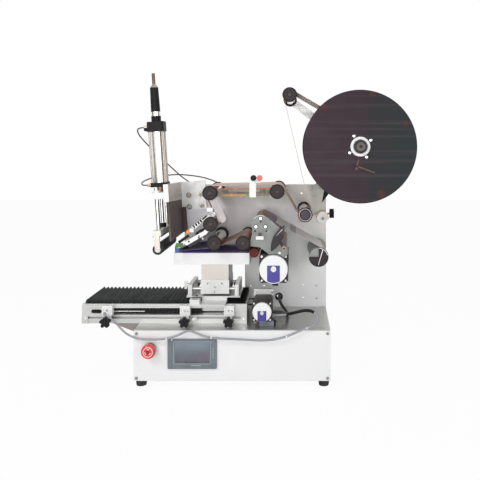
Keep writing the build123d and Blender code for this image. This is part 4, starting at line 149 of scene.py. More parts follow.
class Finish:
    """A procedural material, built up from noise in the object's own space."""

    def __init__(self, name, color, roughness, metallic=0.0, coat=0.0, edge=EDGE, specular=0.5):
        self.material = bpy.data.materials.new(name)
        self.material.use_nodes = True
        self.tree = self.material.node_tree
        self.shader = self.tree.nodes["Principled BSDF"]
        self.shader.inputs["Metallic"].default_value = metallic
        self.shader.inputs["Coat Weight"].default_value = coat
        self.shader.inputs["Specular IOR Level"].default_value = specular
        self.space = self.node("TexCoord").outputs["Object"]
        self.color = self.node("RGB").outputs[0]
        self.color.default_value = (*color, 1.0)
        self.roughness = roughness
        self.normal = self.rounded(edge) if edge else None

    def node(self, kind, inputs=(), **settings):
        """Adds one shader node."""
        return add_node(self.tree, kind, inputs, **settings)

    def rounded(self, radius):
        """Normals that round the edges off."""
        return self.node("Bevel", {"Radius": radius}, samples=BEVEL_SAMPLES).outputs["Normal"]

    def grain(self, scale, stretch=(1, 1, 1), detail=3.0, shift=(0, 0, 0)):
        """Noise with a number of waves in each metre."""
        mapping = self.node("Mapping", {"Vector": self.space, "Scale": stretch, "Location": shift})
        noise = {"Vector": mapping.outputs["Vector"], "Scale": scale, "Detail": detail}
        return self.node("TexNoise", noise).outputs["Fac"]

    def field(self, value):
        """The mask that is given, or plain noise for a number of waves in each metre."""
        return self.grain(value) if isinstance(value, (int, float)) else value

    def ramp(self, value, low, high, out_low=0.0, out_high=1.0):
        """Maps a value's range to another."""
        limits = {"Value": value, "From Min": low, "From Max": high, "To Min": out_low, "To Max": out_high}
        return self.node("MapRange", limits).outputs["Result"]

    def tint(self, mask, color, share=1.0):
        """Lays another colour over the surface where the mask is high."""
        part = self.node("Math", {0: mask, 1: share}, operation="MULTIPLY", use_clamp=True)
        colors = {"Factor": part.outputs[0], "A": self.color, "B": (*color, 1.0)}
        self.color = self.node("Mix", colors, data_type="RGBA").outputs["Result"]
        return self

    def cloud(self, value, low, high, color, share):
        """Lays another colour over the surface in patches of noise."""
        return self.tint(self.ramp(self.field(value), low, high), color, share)

    def shine(self, value, low, high):
        """Roughness that varies with a value."""
        self.roughness = self.ramp(self.field(value), 0.35, 0.65, low, high)
        return self

    def relief(self, value, strength, distance):
        """Fine relief in the surface."""
        inputs = {"Strength": strength, "Distance": distance, "Height": self.field(value)}
        if self.normal is not None:
            inputs["Normal"] = self.normal
        self.normal = self.node("Bump", inputs).outputs["Normal"]
        return self

    def painted_edge_light(self, color, share=0.6, radius=0.0012):
        """Painted light along the edges: a lighter colour for a painted highlight, a darker one for a painted
        shade.
        """
        flat = self.node("NewGeometry").outputs["Normal"]
        dot = self.node("VectorMath", {0: self.rounded(radius), 1: flat}, operation="DOT_PRODUCT")
        return self.tint(self.ramp(dot.outputs["Value"], 1.0, 0.86), color, share)

    def rise(self, axis, low, high):
        """A mask that rises along one axis between two places in metres."""
        return self.ramp(self.node("SeparateXYZ", {0: self.space}).outputs[axis], low, high)

    def both(self, first, second):
        """A mask that is high where two others are."""
        return self.node("Math", {0: first, 1: second}, operation="MULTIPLY").outputs[0]

    def band(self, axis, low, high, soft):
        """A mask that is high between two places along one axis."""
        return self.both(self.rise(axis, low - soft, low), self.rise(axis, high + soft, high))

    def spot(self, place, radius):
        """A soft round mask about a place."""
        reach = self.node("VectorMath", {0: self.space, 1: place}, operation="DISTANCE")
        return self.ramp(reach.outputs["Value"], radius, radius * 0.5)

    def done(self):
        """Wires the shader up and returns the material."""
        self.tree.links.new(self.color, self.shader.inputs["Base Color"])
        if isinstance(self.roughness, float):
            self.shader.inputs["Roughness"].default_value = self.roughness
        else:
            self.tree.links.new(self.roughness, self.shader.inputs["Roughness"])
        if self.normal is not None:
            self.tree.links.new(self.normal, self.shader.inputs["Normal"])
        return self.material


def white_coat():
    """White powder coat with faint smudges."""
    finish = Finish("white_coat", (0.90, 0.90, 0.90), 0.42)
    finish.tint(finish.grain(9, detail=4), (0.84, 0.84, 0.86), 0.5)
    # Painted shade: darker lines along the edges.
    finish.painted_edge_light((0.50, 0.50, 0.51), 0.8, 0.0016)
    return finish.shine(30, 0.38, 0.5).relief(900, 0.12, 0.0002).done()


def brushed(name, color, along="x", metallic=0.9, lines=700, streak=0.35):
    """Brushed metal with its lines along one axis."""
    stretch = [0.015 if axis == along else 1 for axis in "xyz"]
    finish = Finish(name, color, 0.35, metallic)
    lines_mask = finish.grain(lines, stretch, 2)
    finish.tint(lines_mask, scaled(color, 0.8), streak)
    finish.cloud(finish.grain(14, detail=4), 0.45, 0.7, scaled(color, 1.12), 0.6)
    # Painted highlight: a lighter colour along the edges.
    finish.painted_edge_light(scaled(color, 1.12), 0.7)
    return finish.shine(lines_mask, 0.28, 0.42).relief(lines_mask, 0.08, 0.0001).done()


def blasted_plate():
    """The back plate's blasted aluminium, with cloudy lighter and greener patches and a painted shade along
    its top.
    """
    finish = Finish("blasted_plate", (0.86, 0.86, 0.85), 0.5, 0.1)
    finish.cloud(7, 0.42, 0.66, (0.95, 0.94, 0.97), 0.8)
    # Painted shade: darker and greener above Z 0.485 to 0.535, under the tie bar and the web.
    finish.tint(finish.rise("Z", 0.485, 0.535), (0.62, 0.63, 0.57), 0.85)
    right = finish.both(finish.rise("X", 0.17, 0.26), finish.rise("Z", 0.36, 0.44))
    finish.tint(right, (0.84, 0.81, 0.75), 0.8)
    right_low = finish.both(finish.rise("X", 0.19, 0.24), finish.band("Z", 0.325, 0.375, 0.03))
    finish.tint(right_low, (0.58, 0.63, 0.57), 0.7)
    finish.cloud(finish.grain(5, shift=(3, 1, 2)), 0.5, 0.7, (0.76, 0.80, 0.75), 0.5)
    finish.tint(finish.rise("Z", 0.30, 0.17), (0.84, 0.84, 0.87), 0.55)
    # Painted highlight: a lighter colour along the edges.
    finish.painted_edge_light((0.85, 0.85, 0.86), 0.7)
    return finish.shine(40, 0.42, 0.55).relief(1400, 0.2, 0.0002).done()


def polished(name, color, roughness=0.1):
    """Ground and polished metal."""
    finish = Finish(name, color, roughness, 1.0)
    finish.tint(finish.grain(60, (1, 1, 0.1)), scaled(color, 0.85), 0.4)
    return finish.shine(200, roughness * 0.8, roughness * 1.6).done()


def rubber(name, color, roughness=0.7, speckle=(0.16, 0.15, 0.15)):
    """Matt rubber with light dust in it."""
    finish = Finish(name, color, roughness, specular=0.18)
    finish.cloud(finish.grain(1100, detail=2), 0.56, 0.72, speckle, 0.6)
    finish.cloud(20, 0.4, 0.7, speckle, 0.25)
    return finish.relief(1500, 0.25, 0.0002).done()


def knurled(name, color, spark, scale=520):
    """A knurled dark face with sparks of bare metal."""
    finish = Finish(name, color, 0.5, specular=0.18)
    cells = finish.node("TexVoronoi", {"Scale": scale, "Vector": finish.space}).outputs["Distance"]
    finish.cloud(cells, 0.25, 0.0, spark, 0.5)
    finish.cloud(60, 0.45, 0.65, scaled(color, 1.5), 0.5)
    return finish.relief(cells, 0.6, 0.0004).done()


def moulded(name, color, roughness=0.35, coat=0.0, mark=None, specular=0.4):
    """Moulded plastic with a fine spark-eroded grain."""
    finish = Finish(name, color, roughness, coat=coat, specular=specular)
    second = mark or scaled(color, 1.25, 0.01)
    finish.cloud(finish.grain(25, detail=4), 0.4, 0.7, second, 0.5)
    # Painted edge light: the second colour along the edges, a painted highlight where it is lighter and a
    # painted shade where it is darker.
    finish.painted_edge_light(second, 0.5)
    return finish.shine(120, roughness * 0.85, roughness * 1.2).relief(1600, 0.1, 0.0001).done()


def smoky_disc():
    """The reel's dark smoky discs, bluer to the right, with faint reddish patches."""
    x = axis_place("reel_spin")[0]
    finish = Finish("smoky_disc", (0.044, 0.027, 0.036), 0.36, specular=0.12)
    finish.tint(finish.rise("X", x + 0.014, x + 0.024), (0.030, 0.030, 0.034), 0.9)
    finish.tint(finish.rise("X", x + 0.03, x + 0.15), (0.029, 0.040, 0.042), 0.8)
    finish.cloud(finish.grain(90, (0.02, 1, 1), 3), 0.5, 0.72, (0.075, 0.062, 0.070), 0.5)
    for pixel, radius in DISC_SPOTS:
        across, up = seen(pixel, DISC_FACE_Y)
        finish.tint(finish.spot((across, DISC_FACE_Y, up), radius), (0.15, 0.035, 0.030), 0.4)
    return finish.shine(20, 0.3, 0.42).done()


def backing_paper():
    """Brown backing paper, red and olive along its upper run, violet and grey where it runs below, and a
    violet with painted light on its run under the peel table.
    """
    finish = Finish("backing_paper", (0.50, 0.34, 0.24), 0.4, edge=0, specular=0.6)
    finish.tint(finish.grain(300, (1, 0.02, 1)), (0.62, 0.47, 0.38), 0.6)
    finish.cloud(12, 0.4, 0.6, (0.36, 0.16, 0.1), 0.6)
    run_top = finish.both(finish.band("Z", 0.550, 0.592, 0.004), finish.rise("X", 0.160, 0.150))
    lines = finish.grain(150, (0.03, 1, 1), 2)
    finish.tint(finish.both(run_top, finish.ramp(lines, 0.50, 0.56)), (0.40, 0.07, 0.05), 0.8)
    finish.tint(finish.both(run_top, finish.ramp(lines, 0.44, 0.38)), (0.42, 0.36, 0.20), 0.7)
    # Painted light: the run under the peel table is violet, made far lighter than its own colour to stand in
    # for the light its shade keeps off.
    tongue_painted_light = finish.both(finish.band("X", -0.175, -0.070, 0.004), finish.band("Z", 0.360, 0.424, 0.004))
    finish.tint(tongue_painted_light, (0.55, 0.48, 0.85), 0.9)
    low = finish.both(finish.band("Z", 0.28, 0.49, 0.01), finish.rise("X", 0.075, 0.080))
    for mask, color, share in (
        (finish.rise("X", 0.1065, 0.1055), (0.20, 0.12, 0.08), 0.8),
        (finish.band("X", 0.106, 0.1235, 0.001), (0.15, 0.09, 0.18), 0.85),
        (finish.rise("X", 0.1235, 0.1245), (0.72, 0.71, 0.71), 0.9),
        (finish.band("X", 0.165, 0.182, 0.001), (0.22, 0.18, 0.18), 0.7),
    ):
        finish.tint(finish.both(low, mask), color, share)
    return finish.relief(600, 0.05, 0.0001).done()


def screen_glass():
    """The dark control screen, with a soft cloudy reflection in it."""
    finish = Finish("screen_glass", (0.12, 0.13, 0.155), 0.2, coat=0.3)
    finish.tint(finish.rise("Z", 0.090, 0.118), (0.22, 0.27, 0.32), 0.9)
    low_right = finish.both(finish.rise("Z", 0.105, 0.085), finish.rise("X", -0.13, -0.08))
    finish.tint(low_right, (0.165, 0.125, 0.17), 0.8)
    finish.tint(finish.rise("Z", 0.078, 0.070), (0.06, 0.065, 0.085), 0.8)
    finish.cloud(finish.grain(26, detail=2), 0.45, 0.7, (0.17, 0.18, 0.22), 0.5)
    return finish.shine(60, 0.12, 0.2).done()


def tie_bar():
    """The dark tie bar, with painted reflections in it: red-brown along its top, and darker with orange and
    green at its lower left.
    """
    finish = Finish("tie_bar", (0.055, 0.045, 0.036), 0.3, 0.5)
    # Painted reflections: red-brown along the top; below, a darker brown with orange and green patches.
    finish.tint(finish.rise("Z", 0.5575, 0.5605), (0.20, 0.055, 0.035), 0.9)
    low = finish.rise("Z", 0.5480, 0.5440)
    finish.tint(low, (0.13, 0.10, 0.045), 0.7)
    finish.tint(finish.both(low, finish.band("X", -0.010, 0.028, 0.012)), (0.32, 0.14, 0.03), 0.8)
    finish.tint(finish.both(low, finish.band("X", 0.034, 0.060, 0.008)), (0.10, 0.17, 0.05), 0.8)
    finish.cloud(finish.grain(120, (1, 1, 0.2)), 0.45, 0.7, (0.16, 0.13, 0.10), 0.4)
    # Painted highlight: a lighter colour along the edges.
    finish.painted_edge_light((0.35, 0.27, 0.2), 0.5)
    return finish.shine(90, 0.2, 0.4).done()


def painted_plate(name, color):
    """A plate in one even coat, cloudy, with a painted highlight along its edges."""
    finish = Finish(name, color, 0.45, 0.2)
    finish.cloud(24, 0.4, 0.7, scaled(color, 1.3), 0.6)
    finish.painted_edge_light((0.62, 0.64, 0.62), 0.8)
    return finish.shine(60, 0.35, 0.5).relief(1400, 0.15, 0.0002).done()


def skirt():
    """The press's side panel, its dark brown a painted shade that lightens towards its foot."""
    finish = Finish("side_skirt", (0.085, 0.062, 0.052), 0.5, specular=0.25)
    # Painted shade: dark brown over the panel, lighter from Z 0.50 down to its foot at 0.41.
    finish.tint(finish.rise("Z", 0.50, 0.41), (0.155, 0.125, 0.105), 0.9)
    return finish.cloud(40, 0.42, 0.7, (0.12, 0.09, 0.08), 0.5).relief(900, 0.1, 0.0002).done()


def violet_pad():
    """The platform's soft violet pad."""
    finish = Finish("violet_pad", (0.33, 0.27, 0.56), 0.8, specular=0.2)
    finish.cloud(700, 0.45, 0.7, (0.32, 0.25, 0.56), 0.6)
    return finish.cloud(14, 0.5, 0.7, (0.20, 0.14, 0.36), 0.5).relief(900, 0.35, 0.0004).done()


def jacket(name, color):
    """A cable's smooth jacket."""
    finish = Finish(name, color, 0.4, edge=0, specular=0.5)
    return finish.cloud(90, 0.4, 0.7, scaled(color, 0.7), 0.5).relief(700, 0.06, 0.0001).done()


WHITE = white_coat()
DECK = brushed("deck_steel", (0.50, 0.50, 0.485))
PLATE = blasted_plate()
ALUMINIUM = brushed("milled_aluminium", (0.62, 0.62, 0.61), "x", 0.6)
PEDESTAL = brushed("brushed_pedestal", (0.52, 0.49, 0.45), "z", 0.8, 420, 0.6)
STEEL = polished("polished_steel", (0.82, 0.81, 0.79))
DARK_MIRROR = polished("dark_mirror", (0.22, 0.18, 0.15), 0.14)
BRASS = polished("brass", (0.44, 0.34, 0.23), 0.25)
COPPER = brushed("copper_strip", (0.52, 0.24, 0.13), "x", 0.8)
NOSE = brushed("bronze_nose", (0.40, 0.25, 0.17), "x", 0.8)
RUBBER = rubber("black_rubber", (0.02, 0.02, 0.021))
RED_RUBBER = rubber("red_rubber", (0.12, 0.022, 0.018), 0.6, (0.2, 0.07, 0.05))
PRESS_RUBBER = rubber("press_rubber", (0.022, 0.028, 0.026), 0.55, (0.06, 0.07, 0.065))
BELLOWS = rubber("bellows_cloth", (0.025, 0.027, 0.027), 0.6, (0.11, 0.11, 0.11))
TIE_BAR = tie_bar()
TRACTION = painted_plate("traction_grey", (0.20, 0.21, 0.20))
CONE = painted_plate("cone_grey", (0.26, 0.25, 0.24))
ARM = painted_plate("link_arm", (0.42, 0.385, 0.38))
SKIRT = skirt()
BOLT = painted_plate("bolt_grey", (0.33, 0.35, 0.32))
LIGHT_CAST = painted_plate("light_casting", (0.74, 0.74, 0.73))
BEZEL = moulded("bezel_slate", (0.15, 0.185, 0.20), 0.42)
STRUT = moulded("strut_brown", (0.30, 0.26, 0.24), 0.5)
MAROON = moulded("maroon_knob", (0.075, 0.028, 0.026), 0.4)
DARK_BRONZE = moulded("dark_bronze", (0.085, 0.045, 0.036), 0.35)
DARK_RED = moulded("dark_red", (0.22, 0.014, 0.016), 0.35, 0.1)
CORE_VIOLET = moulded("violet_core", (0.050, 0.036, 0.055), 0.4, specular=0.3)
SHAFT_GREY = moulded("shaft_grey", (0.30, 0.31, 0.29), 0.4)
TIE_ROD = polished("tie_rod_steel", (0.46, 0.40, 0.35), 0.3)
BROWN_ROD = polished("brown_rod", (0.17, 0.12, 0.095), 0.25)
CAP = knurled("knurled_cap", (0.036, 0.028, 0.029), (0.13, 0.10, 0.095))
CAP_LINE = knurled("cap_line", (0.075, 0.060, 0.058), (0.20, 0.16, 0.15))
CORE = knurled("knurled_core", (0.14, 0.13, 0.12), (0.4, 0.38, 0.36), 700)
BLACK = moulded("black_plastic", (0.014, 0.013, 0.014), 0.5, specular=0.15)
GLOSS_BLACK = moulded("gloss_black", (0.022, 0.014, 0.018), 0.22, 0.15, specular=0.2)
SLATE = moulded("slate_plastic", (0.16, 0.18, 0.205), 0.4)
SLATE_LIGHT = moulded("slate_line", (0.34, 0.38, 0.42), 0.4)
RED = moulded("red_plastic", (0.66, 0.028, 0.030), 0.25, 0.5, (0.78, 0.07, 0.06))
PALE_RED = moulded("pale_ring", (0.85, 0.50, 0.48), 0.35)
WHITE_PLASTIC = moulded("white_plastic", (0.90, 0.90, 0.90), 0.3, 0.2, (0.84, 0.84, 0.85))
VIOLET_PLATE = moulded("violet_plate", (0.055, 0.040, 0.30), 0.35, 0.3, (0.075, 0.06, 0.36))
ORANGE = moulded("orange_plastic", (0.80, 0.27, 0.03), 0.3)
GREEN = moulded("green_plastic", (0.06, 0.20, 0.03), 0.4)
BLUE = moulded("blue_plastic", (0.04, 0.10, 0.35), 0.3)
MOTOR_CASE = moulded("motor_case", (0.030, 0.027, 0.026), 0.5, specular=0.2)
DISC = smoky_disc()
PAPER = backing_paper()
GLASS = screen_glass()
PAD = violet_pad()
GREY_JACKET = jacket("grey_jacket", (0.36, 0.36, 0.39))
DARK_JACKET = jacket("dark_jacket", (0.06, 0.055, 0.06))
HOSE = jacket("hose", (0.055, 0.05, 0.045))


# Mesh helpers

SHARP_ANGLE = math.radians(35)
FOLD_ANGLE = math.radians(30)
HEAD_STEPS = 36


def put(name, data):
    """Adds an object to the scene."""
    made = bpy.data.objects.new(name, data)
    bpy.context.scene.collection.objects.link(made)
    return made


def mesh_of(name, bm, *materials):
    """Turns a bmesh into a mesh."""
    mesh = bpy.data.meshes.new(name)
    bm.to_mesh(mesh)
    bm.free()
    for each in materials:
        mesh.materials.append(each)
    return mesh


def piece(name, bm, material, bevel=0.0, body="frame"):
    """Turns a bmesh into a piece that rides on a body."""
    bmesh.ops.recalc_face_normals(bm, faces=bm.faces)
    mesh = mesh_of(name, bm, material)
    made = put(name, mesh)
    mesh.polygons.foreach_set("use_smooth", [True] * len(mesh.polygons))
    mesh.set_sharp_from_angle(angle=SHARP_ANGLE)
    if bevel:
        soft = made.modifiers.new("soft_edges", "BEVEL")
        soft.width = bevel
        soft.segments = 2
        soft.limit_method = "ANGLE"
    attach(made, body)
    return made


def skin(bm, rings, closed=False):
    """Joins rings of points with faces, capped at both ends or closed on themselves."""
    for low, high in zip(rings, rings[1:] + rings[:1] if closed else rings[1:]):
        for step in range(len(low)):
            after = (step + 1) % len(low)
            bm.faces.new((low[step], low[after], high[after], high[step]))
    if not closed:
        bm.faces.new(rings[0])
        bm.faces.new(rings[-1])
    return bm


def circle(bm, centre, radius, y, steps=SEGMENTS, turn=None, sides=0):
    """Adds a ring of points about an axis along Y, round or with flat sides."""
    ring = []
    for step in range(steps):
        angle = 2 * math.pi * step / steps
        reach = radius
        if sides:
            part = math.pi / sides
            reach = radius / math.cos(angle % (2 * part) - part)
        place = Vector((centre[0] + reach * math.cos(angle), y, centre[1] + reach * math.sin(angle)))
        ring.append(bm.verts.new(turn @ place if turn else place))
    return ring


def lathe(bm, centre, profile, segments=SEGMENTS, turn=None):
    """Adds a turned form about an axis along Y through a centre, from pairs of radius and Y."""
    return skin(bm, [circle(bm, centre, radius, y, segments, turn) for radius, y in profile])


def washer(bm, centre, radii, ys, segments=SEGMENTS):
    """Adds a flat washer about an axis along Y."""
    (inner, outer), (front, back) = radii, ys
    profile = ((inner, front), (outer, front), (outer, back), (inner, back))
    return skin(bm, [circle(bm, centre, radius, y, segments) for radius, y in profile], True)


def prism(bm, outline, ys, turn=None):
    """Adds an outline in X and Z, extruded along Y."""
    rows = []
    for y in ys:
        places = [Vector((x, y, z)) for x, z in outline]
        rows.append([bm.verts.new(turn @ place if turn else place) for place in places])
    return skin(bm, rows)


def box(bm, xs, ys, zs, turn=None):
    """Adds a block between two limits along each axis."""
    (left, right), (low, high) = xs, zs
    return prism(bm, [(left, low), (right, low), (right, high), (left, high)], ys, turn)


def raised(face, height):
    """The limits in Y of what stands out from a face that looks to the front."""
    return face - height, face + SEAT


def around(centre, radius, count, start=0.0):
    """Places spread evenly round a centre in X and Z."""
    angles = [start + 2 * math.pi * step / count for step in range(count)]
    return [(centre[0] + radius * math.cos(a), centre[1] + radius * math.sin(a)) for a in angles]


def bar_outline(start, end, half, end_half=None):
    """A straight bar in X and Z along a line, which may taper."""
    start, end = Vector(start), Vector(end)
    out = Vector((start.y - end.y, end.x - start.x)).normalized()
    near, far = out * half, out * (half if end_half is None else end_half)
    return [tuple(start + near), tuple(end + far), tuple(end - far), tuple(start - near)]


def band_outline(centre, inner, outer, start, end, steps=16):
    """A stretch of a flat ring in X and Z, between two angles in degrees."""
    x, z = centre
    angles = [math.radians(start + (end - start) * step / steps) for step in range(steps + 1)]
    far = [(x + outer * math.cos(a), z + outer * math.sin(a)) for a in angles]
    near = [(x + inner * math.cos(a), z + inner * math.sin(a)) for a in reversed(angles)]
    return far + near


def tube(bm, centre, radius, ys, segments=24, turn=None):
    """A short round bar along Y with chamfered rims."""
    front, back = ys
    rim = min(radius * 0.18, (back - front) * 0.3)
    profile = ((radius - rim, front), (radius, front + rim), (radius, back - rim), (radius - rim, back))
    return lathe(bm, centre, profile, segments, turn)


def socket_head(bm, centre, face, size, turn=None):
    """A cap screw's head with a six-sided socket, seated on a face, from its radius and height."""
    radius, height = size
    top = face - height
    profile = (
        (0.42, top + height * 0.55, 6), (0.46, top, 6), (0.86, top, 0),
        (1.0, top + height * 0.16, 0), (1.0, face + SEAT, 0),
    )
    skin(bm, [circle(bm, centre, radius * share, y, HEAD_STEPS, turn, sides) for share, y, sides in profile])


def paint(node, *finishes, rule=None):
    """Gives a CAD node its materials; a rule picks one for each face."""
    mesh = NODES[node].data
    mesh.materials.clear()
    for finish in finishes:
        mesh.materials.append(finish)
    if rule:
        for polygon in mesh.polygons:
            polygon.material_index = rule(polygon)


def copy_of(node, name, material):
    """A piece with a CAD node's own form and softened folds, that stands for the node."""
    bm = bmesh.new()
    bm.from_mesh(NODES[node].data)
    bmesh.ops.remove_doubles(bm, verts=bm.verts, dist=1e-6)
    sharp = [edge for edge in bm.edges if len(edge.link_faces) == 2 and edge.calc_face_angle() > FOLD_ANGLE]
    bmesh.ops.bevel(bm, geom=sharp, offset=FOLD_EDGE, segments=2, affect="EDGES", clamp_overlap=True)
    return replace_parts(put(name, mesh_of(name, bm, material)), node)


# CAD nodes that keep their form

SIDES = ("left", "middle", "right")
PLAIN = (
    (WHITE, ("base_cabinet", "front_panel")),
    (DECK, ("top_plate",)),
    (RUBBER, ("rubber_feet", "drive_belts")),
    (SLATE, ("hmi_panel",)),
    (BLACK, ("estop_collar", *("star_knob_" + side for side in SIDES))),
    (RED, ("estop_button",)),
    (ALUMINIUM, ("slide_extrusions", "slide_frame", "carriage", "table_pulley", "feed_pulley", "dancer_arm")),
    (WHITE_PLASTIC, ("platform_tray", "guide_block", *("sensor_block_" + side for side in SIDES))),
    (STEEL, ("wing_screw",)),
    (RED_RUBBER, ("nip_roller",)),
    (PRESS_RUBBER, ("drive_roller",)),
    (PLATE, ("back_plate",)),
    (DISC, ("label_reel",)),
    (PAPER, ("label_roll",)),
)
PEDESTAL_LOW = 0.2844
TABLE_CAP_DEPTH = 0.0099
TABLE_BRACKET_GAP = 0.0235
TRACTION_CAP_DEPTH = 0.0169
TRACTION_CASE_BACK = 0.0246
TRACTION_ROLLER_X = 0.1
FAR = 9.0
X, Y, Z = 0, 1, 2
LEVER_PIVOT_X = 0.143
NIP_SCREW_Z = 0.4241
LINK_ARM_Y = -0.1355
SENSOR_HEAD_DEPTH = 0.0119
SENSOR_SPLIT_X = 0.068
PEEL_SIDE_DEPTH = 0.0059
SPOOL_CAP_DEPTH = 0.0059
LEVER_ARM_DEPTH = 0.001
PEEL_TONGUE_X = -0.0955
BOSS_PLACE = (0.2685, 0.457)
BOSS_FRONT_Y = 0.041
CLAMP_KNOB_X = 0.2905
COPPER_X = 0.2925
COPPER_Y = (0.0415, 0.0595)
COPPER_Z = (0.4345, 0.4767)
COPPER_REACH = (0.0179, 0.0181)
BOSS_REACH = 0.0186
SLANT = 0.9
PRESS_Y = -0.060
FITTING_X = 0.0252
BARREL_REACH = 0.0222
CYLINDER_Z = (0.5629, 0.5761, 0.7302)
ROD_Z = (0.7912, 0.8648, 0.8755)
YOKE_Z = (0.4238, 0.4402)
YOKE_ROD_REACH = 0.0105
YOKE_BODY_Y = (-0.1481, 0.0481)
PRESS_CORE_REACH = 0.0091
PRESS_BOLT_PLATE_Y = 0.0632


def first_hit(tests, other):
    """A rule that picks the finish of the first test a face's centre passes, or else the other one."""

    def rule(face):
        """The place of a face's finish in its node's row."""
        for axis, low, high, finish in tests:
            if low < face.center[axis] < high:
                return finish
        return other

    return rule


def above(axis, place, finish):
    """A test for faces past a place on an axis."""
    return axis, place, FAR, finish


def below(axis, place, finish):
    """A test for faces before a place on an axis."""
    return axis, -FAR, place, finish


def reel_arm_rule(face):
    """Plate-grey arm, light boss, copper strip and black clamp knob."""
    centre = face.center
    if centre.x > CLAMP_KNOB_X:
        return 3
    reach = math.hypot(centre.x - BOSS_PLACE[0], centre.z - BOSS_PLACE[1])
    if centre.x < COPPER_X and COPPER_Z[0] < centre.z < COPPER_Z[1] and COPPER_Y[0] < centre.y < COPPER_Y[1]:
        if reach > COPPER_REACH[0] and abs(face.normal.y) < SLANT or reach > COPPER_REACH[1]:
            return 2
    return int(reach < BOSS_REACH and centre.y > BOSS_FRONT_Y)


def press_reach(place):
    """How far a place in the upright press is from its axis."""
    return math.hypot(place.x - PRESS_PIVOT.x, place.y - PRESS_Y)


def cylinder_rule(face):
    """Steel barrel, black caps, brass fittings, tie rods and a bronze nose."""
    place = UPRIGHT @ face.center
    if place.x < PRESS_PIVOT.x - FITTING_X:
        return 2
    if place.z > CYLINDER_Z[2]:
        return 1
    if place.z > CYLINDER_Z[1]:
        return 3 if press_reach(place) > BARREL_REACH else 0
    return 1 if place.z > CYLINDER_Z[0] else 4


def rod_rule(face):
    """Bright rod, black nut, brown end and the grey cone between them."""
    z = (UPRIGHT @ face.center).z
    if z > ROD_Z[2]:
        return 2
    return 3 if z > ROD_Z[1] else int(z > ROD_Z[0])


def yoke_rule(face):
    """Steel guide rods, light yoke, brushed roller arms and the piston rod's black nut."""
    place = UPRIGHT @ face.center
    if place.z > YOKE_Z[1]:
        return 3 if press_reach(place) < YOKE_ROD_REACH else 0
    return 1 if place.z > YOKE_Z[0] and YOKE_BODY_Y[0] < place.y < YOKE_BODY_Y[1] else 2


def press_roller_rule(face):
    """Rubber cover and the bright core."""
    reach = math.hypot(face.center.x - PRESS_PIVOT.x, face.center.z - PRESS_PIVOT.z)
    return int(reach < PRESS_CORE_REACH)


def bracket_rule(face):
    """The press's brushed side plate and its lighter bolt plate."""
    return int((UPRIGHT @ face.center).y > PRESS_BOLT_PLATE_Y)


def split_nodes():
    """The nodes whose finishes change at a place: node, finishes, tests, and the finish of the rest."""
    motor = (WHITE_PLASTIC, MOTOR_CASE, ALUMINIUM)
    table_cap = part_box("table_motor")[0].y + TABLE_CAP_DEPTH
    bracket = JOINTS["table_pulley_spin"]["pos_m"][1] - TABLE_BRACKET_GAP
    traction_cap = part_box("traction_motor")[0].y + TRACTION_CAP_DEPTH
    traction = (TRACTION, DARK_BRONZE, WHITE_PLASTIC, DARK_BRONZE)
    on_plate = (above(Y, TRACTION_FACE_Y - SEAT, 0), above(X, TRACTION_ROLLER_X, 1), below(Z, NIP_SCREW_Z, 2))
    head = above(Y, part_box("label_sensor")[0].y + SENSOR_HEAD_DEPTH, 0)
    side = below(Y, LINK_FACE_Y + PEEL_SIDE_DEPTH, 0)
    arm = below(Y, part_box("pinch_lever")[0].y + LEVER_ARM_DEPTH, 0)
    spool_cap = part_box("rewind_spool")[0].y + SPOOL_CAP_DEPTH
    rows = [
        ("jig_slider", (ALUMINIUM, PEDESTAL), [above(Z, PEDESTAL_LOW, 1)], 0),
        ("table_motor", motor, (below(Y, table_cap, 0), above(Y, bracket, 2)), 1),
        ("traction_motor", motor, (below(Y, traction_cap, 0), above(Y, TRACTION_CASE_BACK, 2)), 1),
        ("plate_shafts", (STEEL, CAP), [below(Y, CAP_FACE_Y + FLANGE + SEAT, 1)], 0),
        ("front_links", (TIE_BAR, ARM), [above(Y, LINK_ARM_Y, 1)], 0),
        ("label_sensor", (WHITE_PLASTIC, BLACK, RED), (head, below(X, SENSOR_SPLIT_X, 1)), 2),
        ("peel_table", (LIGHT_CAST, GLOSS_BLACK, ALUMINIUM), (side, below(X, PEEL_TONGUE_X, 1)), 2),
        ("traction_plate", traction, on_plate, 3),
        ("pinch_lever", (GLOSS_BLACK, DARK_BRONZE), (arm, above(X, LEVER_PIVOT_X, 1)), 0),
        ("rewind_spool", (SHAFT_GREY, GLOSS_BLACK), [below(Y, spool_cap, 1)], 0),
    ]
    for name in (*FIXED_CAPS, *TURNING_CAPS, "reel_side_roller"):
        low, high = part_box(name)
        ends = (below(Y, low.y + FLANGE + SEAT, 1), above(Y, high.y - FLANGE - SEAT, 1))
        rows.append((name, (STEEL, CAP), ends, 0))
    return rows


def paint_nodes():
    """Materials for every CAD node that is seen as it is."""
    for finish, names in PLAIN:
        for name in names:
            paint(name, finish)
    for name, finishes, tests, other in split_nodes():
        paint(name, *finishes, rule=first_hit(tests, other))
    for name, finishes, rule in (
        ("reel_arm", (PLATE, LIGHT_CAST, COPPER, BLACK), reel_arm_rule),
        ("press_cylinder", (STEEL, BLACK, BRASS, TIE_ROD, NOSE), cylinder_rule),
        ("press_rod", (STEEL, BLACK, BROWN_ROD, CONE), rod_rule),
        ("press_yoke", (STEEL, LIGHT_CAST, PEDESTAL, BLACK), yoke_rule),
        ("press_roller", (PRESS_RUBBER, PEDESTAL), press_roller_rule),
        ("press_bracket", (PEDESTAL, LIGHT_CAST), bracket_rule),
    ):
        paint(name, *finishes, rule=rule)


# Bellows


def bellows():
    """The two folded covers beside the carriage."""
    left = copy_of("bellows_left", "bellows_left_cloth", BELLOWS)
    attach(left, "frame")
    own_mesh(left)
    right = copy_of("bellows_right", "bellows_right_cloth", BELLOWS)
    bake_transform(right)


# Cords

